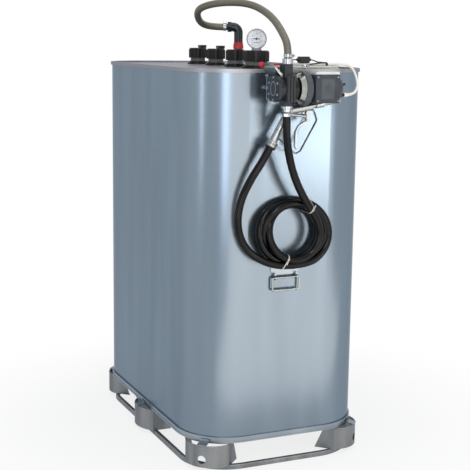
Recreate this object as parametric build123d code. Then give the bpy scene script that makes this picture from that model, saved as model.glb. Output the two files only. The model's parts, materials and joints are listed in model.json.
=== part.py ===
"""Double-walled fuel dispensing tank with an electric transfer pump, hose and nozzle.

Millimetres, +Z up, floor at z = 0. The pump end faces -Y and the long sides face -X and +X.
"""

import math
import os

from build123d import *

# Tank body
TANK_W = 760.0
TANK_L = 1200.0
CORNER_R = 206.0
SEAM_Z = 116.0
TOP_Z = 1572.0
JACKET_T = 1.5
PAN_T = 2.0
SEAM_OUT = 6.0
SEAM_H = 23.0
SEAM_GROOVE = 1.6
SEAM_BEAD = 6.0
RIM_OUT = 6.0
RIM_IN = 8.0
RIM_LOW = 6.0
RIM_RISE = 8.0
RIM_WALL = 2.4
RIM_FILLET = 2.2
FIT = 0.3

# Inner tank and its necks, counted from the rear
INNER_GAP = 26.0
INNER_TOP_GAP = 14.0
INNER_T = 6.0
INNER_FILLET = 30.0
NECK_PITCH = 207.0
NECK_FIRST = -281.0
NECK_R = 33.0
NECK_T = 4.0
NECK_RISE = 34.0
BIG_NECK_R = 45.0

# Base ring and feet
RING_IN = 9.0
RING_W = 18.0
RING_H = 20.0
RING_FILLET = 5.0
FOOT_OUT = 38.0
FOOT_T = 3.0
FOOT_TOP = 107.0
FOOT_LIP_R = 3.2
FOOT_ARC_R = 104.0
FOOT_HALF = 95.0
FOOT_HOLE_R = 17.0
FOOT_HOLE_Z = 52.0
FOOT_WEB_TOP = 41.0
FOOT_WEB_LOW = 82.0
SIDE_FOOT_ARC_R = 140.0
SIDE_FOOT_HALF = 100.0
SHELF_T = 3.0
CLIP_W = 40.0
CLIP_T = 3.0
CLIP_TOP = 13.0

# Neck collars and caps
COLLAR_OUT = 14.0
COLLAR_H = 13.0
CAP_WALL = 4.5
CAP_GAP = 1.0
CAP_H = 44.0
CAP_LIFT = 28.0
CAP_RIBS = 20
CAP_RIB_R = 2.6
CAP_FILLET = 3.0
PORT_OFFSET = 21.0
PORT_R = 18.0
PORT_H = 3.0
PLUG_SIDE = 30.0
PLUG_H = 10.0
SUCTION_OFFSET = 13.0

# Suction union and elbow
UNION_R = 23.0
UNION_H = 27.0
ELBOW_R = 18.5
ELBOW_RISE = 48.0
ELBOW_BEND = 30.0
ELBOW_HEADING = 156.0
ELBOW_NUT_R = 24.0
ELBOW_NUT_L = 16.0
BARB_L = 22.0

# Level gauge
GAUGE_R = 41.0
GAUGE_DEPTH = 34.0
GAUGE_BEZEL = 4.0
GAUGE_DIAL_IN = 7.0
GAUGE_DIAL_T = 1.0
GAUGE_GLASS_T = 2.0
GAUGE_HEADING = -114.0
GAUGE_STEM_R = 20.0
GAUGE_STEM_H = 8.0

# Pump and motor, on one axis parallel to the front face
PUMP_OUT = 95.0
PUMP_DROP = 61.0
PUMP_X = -67.0
COVER_L = 12.0
COVER_R = 48.0
BODY_R = 44.0
BODY_LEFT = 46.0
BODY_RIGHT = 12.0
COLUMN_W = 46.0
COLUMN_D = 46.0
COLUMN_RISE = 91.0
COLUMN_FALL = 65.0
CHEST_LEFT = 25.0
CHEST_OUT = 46.0
CHEST_HALF = 50.0
CHEST_RIB_W = 5.0
CHEST_RIB_OUT = 3.0
FLANGE_R = 46.0
FLANGE_L = 16.0
BELL_SMALL_R = 27.0
BELL_L = 26.0
BELL_R = 59.0
MOTOR_RING_R = 64.0
MOTOR_RING_L = 25.0
MOTOR_R = 41.0
MOTOR_END_X = 150.0
BOX_LEFT = 20.0
BOX_W = 103.0
BOX_H = 106.0
BOX_FRONT = 65.0
BOX_BACK = 10.0
BOX_FILLET = 5.0
RAIL_H = 11.0
RAIL_D = 12.0
GLAND_R = 10.5
GLAND_L = 24.0
GLAND_DROP = 26.0
SWITCH_RISE = 10.0
SWITCH_R = 4.5
SWITCH_L = 20.0
SWITCH_BOSS_R = 9.0
SWITCH_BOSS_L = 8.0
SWITCH_SOCKET_R = 6.5
SWITCH_LEAN = 12.0

# Pump bracket, with a sloping strap over the pump's left end
BRACKET_T = 4.0
BRACKET_W = 216.0
BRACKET_H = 96.0
BRACKET_LEFT = -106.0
ARM_W = 30.0
ARM_H = 12.0
STRAP_W = 34.0
STRAP_RISE = 30.0
STRAP_OUT = 20.0
STRAP_GAP = 8.5
STRAP_FOOT = 10.0

# Hoses
HOSE_D = 30.0
SUCTION_D = 28.0
FITTING_R = 20.0
OUTLET_FLANGE_R = 22.0
CLAMP_T = 2.0
CLAMP_W = 12.0
BEND_SHARE = 0.45

# Hose coil
COIL_X = -1.0
COIL_DROP = 556.0
COIL_W = 350.0
COIL_H = 290.0
COIL_HOLE_W = 160.0
COIL_HOLE_H = 172.0
COIL_BACK = 8.0
COIL_T = 68.0
TIE_T = 2.0
TIE_W = 5.0
TIE_ANGLES = (59.0, 252.0)

# Nozzle, with its points counted from the pump's axis (across, up)
INLET_AT = (-34.0, -201.0)
KNUCKLE_AT = (33.0, -83.0)
SPOUT_TIP_AT = (248.0, -49.0)
LEVER_PIN_AT = (109.0, -123.0)
LEVER_LINE = [(73.0, -143.0), (61.0, -165.0), (59.0, -219.0), (67.0, -231.0)]
GUARD_LINE = [(119.0, -71.0), (139.0, -91.0), (151.0, -123.0), (83.0, -239.0), (61.0, -249.0), (-13.0, -187.0)]
BOSS_FROM = (39.0, -99.0)
BOSS_TO = (101.0, -107.0)
BOSS_R = 6.5
NOZZLE_OUT = 52.0
NOZZLE_R = 17.0
HEAD_L = 100.0
GRIP_R = 15.0
SPOUT_R = 9.5
SPOUT_T = 1.5
SPOUT_BACK = 4.0
SWIVEL_R = 19.0
SWIVEL_L = 26.0
GUARD_T = 3.0
GUARD_W = 10.0
GUARD_BEND_R = 6.0
LEVER_T = 5.0
LEVER_W = 12.0
LEVER_BEND_R = 8.0
LEVER_EYE_R = 6.0
LEVER_PIN_R = 2.0
LEVER_PIN_GAP = 0.08
LEVER_EAR_T = 3.0
LEVER_EAR_H = 46.0
HOLDER_T = 3.0
HOLDER_L = 36.0
HOLDER_AT = 112.0
HOLDER_FOOT_H = 8.0

# Power lead, laid up in a flat coil on the roof behind the front rim
LEAD_D = 10.0
WIRE_D = 4.5
LEAD_COIL_LEFT = 6.0
LEAD_COIL_L = 226.0
LEAD_COIL_W = 74.0
LEAD_COIL_BAND = 13.0
LEAD_COIL_H = 30.0
LEAD_COIL_BACK = 50.0
FUSE_LEFT = 29.0
FUSE_L = 60.0
FUSE_W = 22.0
FUSE_H = 24.0
CLAMP_TIP_X = -128.0
CLAMP_L = 84.0
CLAMP_JAW_W = 20.0
CLAMP_JAW_L = 48.0
CLAMP_THICK = 14.0
GRIP_THICK = 7.0

# Drop handles on the two ends
HANDLE_Z = 774.0
HANDLE_X = -14.0
HANDLE_W = 124.0
HANDLE_DROP = 50.0
HANDLE_ROD = 8.0
HANDLE_OUT = 14.0
HANDLE_PLATE_T = 3.0
HANDLE_PLATE_UP = 10.0
HANDLE_PLATE_H = 48.0
HANDLE_PLATE_SLOPE = 16.0
HANDLE_EAR_T = 7.0
HANDLE_EAR_IN = 16.0
HANDLE_BORE_GAP = 0.1

# Places worked out from the sizes above
TANK_Y = (PUMP_OUT + BOX_FRONT - HANDLE_OUT - HANDLE_ROD / 2) / 2
FRONT_Y = TANK_Y - TANK_L / 2
REAR_Y = TANK_Y + TANK_L / 2
RIM_TOP = TOP_Z + RIM_RISE
PUMP_Y = FRONT_Y - PUMP_OUT
PUMP_Z = TOP_Z - PUMP_DROP
COLUMN_TOP = PUMP_Z + COLUMN_RISE
COLUMN_LOW = PUMP_Z - COLUMN_FALL
COIL_Z = PUMP_Z - COIL_DROP
BODY_X0 = PUMP_X - BODY_LEFT
BODY_X1 = PUMP_X + BODY_RIGHT
FLANGE_X1 = BODY_X1 + FLANGE_L
BELL_X1 = FLANGE_X1 + BELL_L
RING_X1 = BELL_X1 + MOTOR_RING_L
NECK_YS = [TANK_Y + NECK_FIRST + NECK_PITCH * i for i in (3, 2, 1, 0)]
NECK_RS = [NECK_R, NECK_R, NECK_R, BIG_NECK_R]
CAP_Z = TOP_Z + CAP_LIFT
CAP_TOP = CAP_Z + CAP_H
NOZZLE_Y = FRONT_Y - NOZZLE_OUT


def outline(offset):
    """Plan outline of the tank, moved out by an offset."""
    return RectangleRounded(TANK_W + 2 * offset, TANK_L + 2 * offset, CORNER_R + offset)


def wall(outer, inner, low, high):
    """Upright band that follows the plan outline between two offsets."""
    return extrude(Pos(0, TANK_Y, low) * (outline(outer) - outline(inner)), high - low)


def deck(offset, low, high):
    """Flat plate with the plan outline."""
    return extrude(Pos(0, TANK_Y, low) * outline(offset), high - low)


def rod(start, direction, radius, length, bore=0.0):
    """Round bar or tube from a start point along a direction."""
    plane = Plane(origin=start, z_dir=direction)
    face = Circle(radius)
    if bore:
        face = face - Circle(bore)
    return extrude(plane * face, length)


def block(x0, x1, y0, y1, z0, z1):
    """Box between two corners."""
    middle = Pos((x0 + x1) / 2, (y0 + y1) / 2, (z0 + z1) / 2)
    return middle * Box(x1 - x0, y1 - y0, z1 - z0)


def upright_plane(origin, angle):
    """Plane whose x runs out along an angle in plan and whose y is up."""
    out = Vector(math.cos(math.radians(angle)), math.sin(math.radians(angle)), 0)
    return Plane(origin=origin, x_dir=out, z_dir=out.cross(Vector(0, 0, 1)))


def polygon(points):
    """Flat face with straight sides."""
    return make_face(Polyline(*points, close=True))


def tank_jacket():
    """Galvanised outer skin."""
    return wall(0, -JACKET_T, SEAM_Z + PAN_T, RIM_TOP - RIM_WALL)


def tank_bottom():
    """Bottom pan with its folded seam around the foot of the jacket."""
    pan = deck(SEAM_OUT, SEAM_Z, SEAM_Z + PAN_T)
    band = wall(SEAM_OUT, FIT, SEAM_Z + PAN_T, SEAM_Z + SEAM_H)
    groove = wall(
        SEAM_OUT + 1,
        SEAM_OUT - SEAM_GROOVE,
        SEAM_Z + SEAM_BEAD,
        SEAM_Z + SEAM_H - SEAM_BEAD,
    )
    return pan + band - groove


def tank_top():
    """Roof sheet with its folded rim and four neck holes."""
    roof = deck(-RIM_IN, TOP_Z - PAN_T, TOP_Z)
    outer = wall(RIM_OUT, FIT, TOP_Z - RIM_LOW, RIM_TOP)
    inner = wall(-RIM_IN + RIM_WALL, -RIM_IN, TOP_Z - PAN_T, RIM_TOP)
    bridge = wall(RIM_OUT, -RIM_IN, RIM_TOP - RIM_WALL + FIT, RIM_TOP)
    rim = outer + inner + bridge
    upper = rim.edges().filter_by_position(Axis.Z, RIM_TOP - 0.01, RIM_TOP + 0.01)
    top = fillet(upper, RIM_FILLET / 2) + roof
    for y, radius in zip(NECK_YS, NECK_RS):
        top -= Pos(0, y, TOP_Z - PAN_T / 2) * Cylinder(radius + FIT, 4 * PAN_T)
    return top


def inner_tank():
    """Moulded plastic inner tank with its four necks."""
    low = SEAM_Z + PAN_T + FIT
    high = TOP_Z - PAN_T - INNER_TOP_GAP
    body = deck(-INNER_GAP, low, high)
    body = fillet(body.edges().group_by(Axis.Z)[0] + body.edges().group_by(Axis.Z)[-1], INNER_FILLET)
    core = deck(-INNER_GAP - INNER_T, low + INNER_T, high - INNER_T)
    rims = core.edges().group_by(Axis.Z)[0] + core.edges().group_by(Axis.Z)[-1]
    core = fillet(rims, INNER_FILLET - INNER_T)
    necks_out = []
    necks_in = []
    for y, radius in zip(NECK_YS, NECK_RS):
        length = TOP_Z + NECK_RISE - (high - INNER_T)
        base = (0, y, high - INNER_T)
        necks_out.append(rod(base, (0, 0, 1), radius, length))
        necks_in.append(rod((0, y, high - 2 * INNER_T), (0, 0, 1), radius - NECK_T, length + 2 * INNER_T))
    solid = body
    for neck in necks_out:
        solid += neck
    solid -= core
    for neck in necks_in:
        solid -= neck
    return solid


def base_ring():
    """Low ring that ties the feet together and rests on the floor."""
    ring = wall(-RING_IN, -RING_IN - RING_W, 0, RING_H)
    return fillet(ring.edges().group_by(Axis.Z)[-1], RING_FILLET)


def corner_centre(angle):
    """Axis of the rounded corner that faces an angle in plan."""
    side = 1 if math.cos(math.radians(angle)) > 0 else -1
    end = 1 if math.sin(math.radians(angle)) > 0 else -1
    return Vector(side * (TANK_W / 2 - CORNER_R), TANK_Y + end * (TANK_L / 2 - CORNER_R), 0)


def bent_foot(base, arc_r, half, ring_edge, seam_edge):
    """Pressed foot in its own frame: x runs out from the tank, y along the wall."""
    apex = base + FOOT_OUT
    arc_x = apex - arc_r
    end_x = arc_x + math.sqrt(arc_r**2 - half**2)
    seat = SEAM_Z - FIT
    strip = block(end_x - FOOT_WEB_LOW, apex + 2 * FOOT_LIP_R, -half, half, RING_H, seat)
    front = block(arc_x, apex + 2 * FOOT_LIP_R, -half, half, RING_H, SEAM_Z + FOOT_LIP_R)
    disc = Pos(arc_x, 0, RING_H) * extrude(Circle(arc_r), FOOT_TOP - RING_H)
    hollow = Pos(arc_x, 0, RING_H) * extrude(Circle(arc_r - FOOT_T), FOOT_TOP - RING_H)
    lip = Pos(arc_x, 0, FOOT_TOP) * Torus(arc_r - FOOT_LIP_R + 1, FOOT_LIP_R)
    foot = (disc - hollow) & front
    foot += lip & front
    floor = Pos(arc_x, 0, RING_H) * extrude(Circle(arc_r), FOOT_T)
    foot += (floor & strip) - ring_edge
    web = polygon(
        [
            (end_x + 1, RING_H),
            (end_x + 1, FOOT_TOP),
            (end_x, seat),
            (end_x - FOOT_WEB_TOP, seat),
            (end_x - FOOT_WEB_LOW, RING_H),
        ]
    )
    for side in (-1, 1):
        plane = Plane(origin=(0, side * (half - FOOT_T / 2), 0), x_dir=(1, 0, 0), z_dir=(0, -1, 0))
        foot += extrude(plane * web, FOOT_T / 2, both=True)
    shelf = block(end_x - FOOT_WEB_TOP, apex, -half, half, seat - SHELF_T, seat)
    return foot + (shelf & seam_edge)


def corner_foot(angle):
    """Corner foot with two side webs, a shelf under the seam and a lashing hole."""
    ring_edge = extrude(Circle(CORNER_R - RING_IN - RING_W / 2), SEAM_Z)
    seam_edge = extrude(Circle(CORNER_R + SEAM_OUT), SEAM_Z)
    foot = bent_foot(CORNER_R, FOOT_ARC_R, FOOT_HALF, ring_edge, seam_edge)
    foot -= rod((CORNER_R, 0, FOOT_HOLE_Z), (1, 0, 0), FOOT_HOLE_R, FOOT_OUT + 2 * FOOT_T)
    centre = corner_centre(angle)
    return Pos(*centre) * Rot(0, 0, angle) * foot


def side_foot(side):
    """Foot halfway along a long side."""
    base = TANK_W / 2
    reach = 2 * SIDE_FOOT_HALF
    ring_edge = block(0, base - RING_IN - RING_W / 2, -reach, reach, 0, SEAM_Z)
    seam_edge = block(0, base + SEAM_OUT, -reach, reach, 0, SEAM_Z)
    foot = bent_foot(base, SIDE_FOOT_ARC_R, SIDE_FOOT_HALF, ring_edge, seam_edge)
    return Pos(0, TANK_Y, 0) * Rot(0, 0, 0 if side > 0 else 180) * foot


def foot_clips():
    """Straps from the seam to the lip at the middle of each foot."""
    places = []
    for angle in (45, 135, 225, 315):
        places.append((corner_centre(angle), angle, CORNER_R))
    for angle in (0, 180):
        places.append((Vector(0, TANK_Y, 0), angle, TANK_W / 2))
    clips = []
    for centre, angle, base in places:
        inner = base + SEAM_OUT + FIT
        lip = base + FOOT_OUT - FOOT_LIP_R + 1
        lip_top = FOOT_TOP + FOOT_LIP_R + FIT
        section = polygon(
            [
                (inner, SEAM_Z + CLIP_TOP),
                (inner + CLIP_T, SEAM_Z + CLIP_TOP),
                (inner + CLIP_T, SEAM_Z + CLIP_T),
                (lip + FOOT_LIP_R, lip_top + CLIP_T),
                (lip + FOOT_LIP_R, lip_top),
                (inner, SEAM_Z - FIT),
            ]
        )
        plane = Plane(origin=(0, 0, 0), x_dir=(1, 0, 0), z_dir=(0, -1, 0))
        clip = extrude(plane * section, CLIP_W / 2, both=True)
        if base == CORNER_R:
            clip -= extrude(Circle(CORNER_R + SEAM_OUT + FIT), SEAM_Z + 2 * CLIP_TOP)
        clips.append(Pos(*centre) * Rot(0, 0, angle) * clip)
    return Compound(children=clips)


def neck_collars():
    """Flanged sleeves where the necks come through the roof."""
    collars = []
    for y, radius in zip(NECK_YS, NECK_RS):
        ring = rod((0, y, TOP_Z), (0, 0, 1), radius + COLLAR_OUT, COLLAR_H / 2, radius + FIT)
        sleeve = rod((0, y, TOP_Z + COLLAR_H / 2), (0, 0, 1), radius + COLLAR_OUT / 2, COLLAR_H / 2, radius + FIT)
        collars.append(ring + sleeve)
    return Compound(children=collars)


def screw_cap(y, neck_radius, port_offset=None):
    """Ribbed screw cap over a neck, with a threaded port where it has one."""
    outer = neck_radius + CAP_GAP + CAP_WALL
    cap = rod((0, y, CAP_Z), (0, 0, 1), outer, CAP_H)
    cap = fillet(cap.edges().group_by(Axis.Z)[-1], CAP_FILLET)
    ribs = PolarLocations(outer, CAP_RIBS)
    rib = Cylinder(CAP_RIB_R, CAP_H - 2 * CAP_FILLET)
    for place in ribs:
        cap += Pos(0, y, CAP_Z + CAP_H / 2 - CAP_FILLET) * place * rib
    hollow = TOP_Z + NECK_RISE + CAP_GAP - CAP_Z
    cap -= rod((0, y, CAP_Z), (0, 0, 1), neck_radius + CAP_GAP, hollow)
    if port_offset is not None:
        cap += rod((port_offset, y, CAP_TOP), (0, 0, 1), PORT_R, PORT_H)
    return cap


def cap_plugs():
    """Square-headed plugs in the ports of the two rear caps."""
    plugs = []
    for y in NECK_YS[:2]:
        head = Pos(PORT_OFFSET, y, CAP_TOP + PORT_H + PLUG_H / 2) * Box(PLUG_SIDE, PLUG_SIDE, PLUG_H)
        plugs.append(chamfer(head.edges().group_by(Axis.Z)[-1], 1.5))
    return Compound(children=plugs)


def suction_union():
    """Red union between the suction cap and the elbow."""
    base = (SUCTION_OFFSET, NECK_YS[2], CAP_TOP + PORT_H)
    nut = extrude(Pos(*base) * RegularPolygon(UNION_R, 8), UNION_H * 0.6)
    cone_base = Pos(base[0], base[1], base[2] + UNION_H * 0.8)
    return nut + cone_base * Cone(UNION_R - 2, ELBOW_R + 1, UNION_H * 0.4)


def elbow_frame():
    """Centre of the elbow's bend, its outlet direction and its outlet end."""
    out = Vector(math.cos(math.radians(ELBOW_HEADING)), math.sin(math.radians(ELBOW_HEADING)), 0)
    low = Vector(SUCTION_OFFSET, NECK_YS[2], CAP_TOP + PORT_H + UNION_H)
    corner = low + Vector(0, 0, ELBOW_RISE + ELBOW_BEND * 0.5)
    nut_end = corner + out * (ELBOW_BEND + ELBOW_NUT_L)
    return low, corner, out, nut_end


def suction_elbow():
    """Elbow with a hexagonal hose nut and a barb."""
    low, corner, out, nut_end = elbow_frame()
    path = FilletPolyline(low, corner, corner + out * ELBOW_BEND, radius=ELBOW_BEND * 0.8)
    body = sweep(Plane(origin=low, z_dir=(0, 0, 1)) * Circle(ELBOW_R), path)
    nut_plane = Plane(origin=corner + out * ELBOW_BEND, z_dir=out)
    nut = extrude(nut_plane * RegularPolygon(ELBOW_NUT_R, 6), ELBOW_NUT_L)
    return body + nut


def route_radii(points, share=BEND_SHARE):
    """Arc radius at each inner point of a route, as large as its two runs allow."""
    radii = []
    for before, here, after in zip(points, points[1:], points[2:]):
        first = Vector(*here) - Vector(*before)
        second = Vector(*after) - Vector(*here)
        turn = math.radians(first.get_angle(second))
        radii.append(share * min(first.length, second.length) / math.tan(turn / 2))
    return radii


def cord_tube(name, points, diameter):
    """Plain tube along straight runs joined by tangent arcs."""
    radii = route_radii(points)
    path = FilletPolyline(*points, radius=radii)
    start = Plane(origin=path @ 0, z_dir=path % 0)
    tube = sweep(start * Circle(diameter / 2), path)
    expected = math.pi * diameter**2 / 4 * path.length
    print(f"{name}: length {path.length:.0f}, volume ratio {tube.volume / expected:.4f}")
    print("  radii", " ".join(f"{radius:.0f}" for radius in radii))
    return tube


def suction_route():
    """Points of the suction hose, from the elbow over the roof to the pump inlet."""
    _, _, out, nut_end = elbow_frame()
    x, y, z = nut_end.X, nut_end.Y, nut_end.Z
    inlet_y = PUMP_Y
    return [
        (x, y, z),
        (x + 57 * out.X, y + 57 * out.Y, z),
        (x - 120, y + 8, z + 22),
        (x - 172, y - 105, z + 82),
        (x - 138, y - 185, z + 108),
        (x - 70, y - 245, z + 116),
        (-60, inlet_y + 325, z + 104),
        (-48, inlet_y + 235, z + 72),
        (-52, inlet_y + 145, z + 28),
        (-60, inlet_y + 62, z - 22),
        (PUMP_X, inlet_y, z - 68),
        (PUMP_X, inlet_y, COLUMN_TOP + 20),
    ]


def drop_route():
    """Points of the delivery hose from the pump outlet down into the coil."""
    return [
        (PUMP_X, PUMP_Y, COLUMN_LOW - 22),
        (PUMP_X, PUMP_Y, COLUMN_LOW - 82),
        (COIL_X - 55, FRONT_Y - 90, COIL_Z + 325),
        (COIL_X - 31, FRONT_Y - 82, COIL_Z + 245),
        (COIL_X + 3, FRONT_Y - 74, COIL_Z + 170),
        (COIL_X + 39, FRONT_Y - 64, COIL_Z + 105),
    ]


def return_route():
    """Points of the delivery hose from the coil up to the nozzle."""
    start = nozzle_frame()[0]
    along = nozzle_frame()[1]
    end = start - along * SWIVEL_L
    out = NOZZLE_Y
    return [
        (COIL_X - 39, out, COIL_Z - 117),
        (COIL_X - 127, out, COIL_Z - 107),
        (COIL_X - 205, out, COIL_Z - 57),
        (COIL_X - 245, out, COIL_Z + 30),
        (COIL_X - 235, out, COIL_Z + 130),
        (COIL_X - 189, out, COIL_Z + 217),
        (end.X - along.X * 62, out, end.Z - along.Z * 62),
        (end.X, out, end.Z),
    ]


def by_pump(place):
    """Point in the nozzle's plane, given across and up from the pump's axis."""
    return Vector(PUMP_X + place[0], NOZZLE_Y, PUMP_Z + place[1])


def nozzle_frame():
    """Inlet point, grip direction, knuckle point and spout direction of the nozzle."""
    inlet = by_pump(INLET_AT)
    knuckle = by_pump(KNUCKLE_AT)
    tip = by_pump(SPOUT_TIP_AT)
    return inlet, (knuckle - inlet).normalized(), knuckle, (tip - knuckle).normalized()


def elliptic_band(width, height, hole_width, hole_height, depth, back):
    """Flat elliptic ring that stands in front of the front face."""
    face = Ellipse(width / 2, height / 2) - Ellipse(hole_width / 2, hole_height / 2)
    plane = Plane(origin=(COIL_X, FRONT_Y - back, COIL_Z), x_dir=(1, 0, 0), z_dir=(0, -1, 0))
    return extrude(plane * face, depth)


def hose_coil():
    """Outer shape of the hose's loose turns."""
    return elliptic_band(COIL_W, COIL_H, COIL_HOLE_W, COIL_HOLE_H, COIL_T, COIL_BACK)


def hose_ties():
    """Two ties round the turns of the coil."""
    ties = []
    half_gap = FIT
    for angle in TIE_ANGLES:
        turn = math.radians(angle)
        outer = Vector(math.cos(turn) * COIL_W / 2, 0, math.sin(turn) * COIL_H / 2)
        inner = Vector(math.cos(turn) * COIL_HOLE_W / 2, 0, math.sin(turn) * COIL_HOLE_H / 2)
        middle = (outer + inner) * 0.5
        reach = (outer - inner).length + 2 * half_gap + 2
        across = (outer - inner).normalized()
        centre = Vector(COIL_X, FRONT_Y - COIL_BACK - COIL_T / 2, COIL_Z) + middle
        plane = Plane(origin=centre, x_dir=across, z_dir=across.cross(Vector(0, 1, 0)))
        hole = Rectangle(reach, COIL_T + 2 * half_gap)
        band = Rectangle(reach + 2 * TIE_T, COIL_T + 2 * half_gap + 2 * TIE_T)
        ties.append(extrude(plane * (band - hole), TIE_W / 2, both=True))
    return Compound(children=ties)


def gauge_frame():
    """Plane of the dial, looking out along the gauge's heading."""
    out = Vector(math.cos(math.radians(GAUGE_HEADING)), math.sin(math.radians(GAUGE_HEADING)), 0)
    centre = Vector(0, NECK_YS[3], CAP_TOP + GAUGE_STEM_H + GAUGE_R - 3)
    side = Vector(0, 0, 1).cross(out)
    return Plane(origin=centre, x_dir=side, z_dir=out)


def gauge_case():
    """Cup of the level gauge with its bezel and stem."""
    plane = gauge_frame()
    half = GAUGE_DEPTH / 2
    case = extrude(plane * Circle(GAUGE_R), half, both=True)
    case = fillet(case.edges(), 2.0)
    pocket = extrude(plane.offset(half - GAUGE_DIAL_IN) * Circle(GAUGE_R - GAUGE_BEZEL), 2 * GAUGE_DIAL_IN)
    stem_top = GAUGE_STEM_H + GAUGE_R / 2
    stem = rod((0, NECK_YS[3], CAP_TOP), (0, 0, 1), GAUGE_STEM_R, GAUGE_STEM_H)
    neck = Pos(0, NECK_YS[3], CAP_TOP + stem_top / 2) * Rot(0, 0, GAUGE_HEADING) * Box(GAUGE_DEPTH * 0.7, 30, stem_top)
    return case + stem + neck - pocket


def gauge_dial():
    """Dial plate."""
    plane = gauge_frame().offset(GAUGE_DEPTH / 2 - GAUGE_DIAL_IN)
    return extrude(plane * Circle(GAUGE_R - GAUGE_BEZEL - FIT), GAUGE_DIAL_T)


def gauge_glass():
    """Clear window of the gauge."""
    plane = gauge_frame().offset(GAUGE_DEPTH / 2 - GAUGE_GLASS_T - 1)
    return extrude(plane * Circle(GAUGE_R - GAUGE_BEZEL - FIT / 3), GAUGE_GLASS_T)


def along_x(x0, x1, radius, bore=0.0):
    """Round bar on the pump axis."""
    return rod((x0, PUMP_Y, PUMP_Z), (1, 0, 0), radius, x1 - x0, bore)


def pump_body():
    """Vane pump housing with its upright inlet and outlet column and a ribbed front chest."""
    housing = along_x(BODY_X0, BODY_X1, BODY_R)
    half = COLUMN_W / 2
    column = block(
        PUMP_X - half, BODY_X1, PUMP_Y - COLUMN_D / 2, PUMP_Y + COLUMN_D / 2, COLUMN_LOW, COLUMN_TOP
    )
    column = fillet(column.edges().filter_by(Axis.Z), 5)
    low, high = PUMP_Z - CHEST_HALF, PUMP_Z + CHEST_HALF
    chest = block(PUMP_X - CHEST_LEFT, BODY_X1, PUMP_Y - CHEST_OUT, PUMP_Y, low, high)
    body = housing + column + chest
    pitch = (CHEST_LEFT + BODY_RIGHT) / 3
    for step in range(3):
        x = PUMP_X - CHEST_LEFT + pitch * (step + 0.5)
        front = PUMP_Y - CHEST_OUT
        body += block(x - CHEST_RIB_W / 2, x + CHEST_RIB_W / 2, front - CHEST_RIB_OUT, front, low, high)
    return body


def pump_cover():
    """Screwed cover on the outer end of the pump."""
    plane = Plane(origin=(BODY_X0, PUMP_Y, PUMP_Z), x_dir=(0, 1, 0), z_dir=(-1, 0, 0))
    plate = extrude(plane * RectangleRounded(2 * COVER_R, 2 * COVER_R, COVER_R * 0.6), COVER_L)
    return fillet(plate.faces().sort_by(Axis.X)[0].edges(), 2.5)


def pump_flange():
    """Adapter flange between the pump and the motor."""
    return along_x(BODY_X1, FLANGE_X1, FLANGE_R)


def motor_bell():
    """Polished end bell of the motor."""
    section = polygon([(0, 0), (0, BELL_SMALL_R), (BELL_L * 0.4, BELL_R * 0.8), (BELL_L, BELL_R), (BELL_L, 0)])
    plane = Plane(origin=(FLANGE_X1, PUMP_Y, PUMP_Z), x_dir=(1, 0, 0), z_dir=(0, -1, 0))
    return revolve(plane * section, Axis((FLANGE_X1, PUMP_Y, PUMP_Z), (1, 0, 0)), 360)


def motor_ring():
    """Large grey flange ring of the motor."""
    ring = along_x(BELL_X1, RING_X1, MOTOR_RING_R)
    return fillet(ring.edges(), 2.0)


def motor_shell():
    """Motor housing behind the terminal box."""
    shell = along_x(RING_X1, MOTOR_END_X, MOTOR_R)
    return fillet(shell.edges().group_by(Axis.X)[-1], 4.0)


def terminal_box():
    """Terminal box on the front of the motor."""
    box = block(
        BOX_LEFT,
        BOX_LEFT + BOX_W,
        PUMP_Y - BOX_FRONT,
        PUMP_Y + BOX_BACK,
        PUMP_Z - BOX_H / 2,
        PUMP_Z + BOX_H / 2,
    )
    box = fillet(box.edges().filter_by(Axis.Y) + box.faces().sort_by(Axis.Y)[0].edges(), BOX_FILLET)
    return box - along_x(RING_X1 - 1, MOTOR_END_X, MOTOR_R + FIT)


def box_rail():
    """Light rail along the top of the terminal box."""
    front = PUMP_Y - BOX_FRONT + BOX_FILLET
    top = PUMP_Z + BOX_H / 2
    bar = block(BOX_LEFT + 2, BOX_LEFT + BOX_W - 2, front, front + RAIL_D, top, top + RAIL_H)
    return fillet(bar.edges().filter_by(Axis.X), 2.5)


def cable_gland():
    """Gland on the motor's end for the power lead."""
    start = (MOTOR_END_X, PUMP_Y, PUMP_Z - GLAND_DROP)
    nut = extrude(Plane(origin=start, z_dir=(1, 0, 0)) * RegularPolygon(GLAND_R, 6), GLAND_L * 0.5)
    cone = Plane(origin=start, z_dir=(1, 0, 0)).offset(GLAND_L * 0.75) * Cone(GLAND_R * 0.85, GLAND_R * 0.6, GLAND_L / 2)
    return nut + cone


def switch_frame():
    """Pivot of the switch lever and the direction of its stalk."""
    pivot = Vector(MOTOR_END_X + SWITCH_BOSS_L * 0.6, PUMP_Y, PUMP_Z + SWITCH_RISE)
    lean = math.radians(SWITCH_LEAN)
    return pivot, Vector(math.cos(lean), 0, math.sin(lean))


def switch_base():
    """Boss that carries the switch lever."""
    pivot, _ = switch_frame()
    start = (MOTOR_END_X, pivot.Y, pivot.Z)
    boss = rod(start, (1, 0, 0), SWITCH_BOSS_R, SWITCH_BOSS_L)
    socket = rod((MOTOR_END_X + 1.5, pivot.Y, pivot.Z), (1, 0, 0), SWITCH_SOCKET_R, SWITCH_BOSS_L)
    return boss - socket


def switch_lever():
    """Toggle lever of the on-off switch."""
    pivot, out = switch_frame()
    hub = rod(pivot - out * SWITCH_R / 2, out, SWITCH_R * 0.8, SWITCH_R)
    stalk = rod(pivot, out, SWITCH_R * 0.6, SWITCH_L)
    knob = rod(pivot + out * (SWITCH_L - SWITCH_R), out, SWITCH_R, 2 * SWITCH_R)
    return hub + stalk + knob


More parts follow.
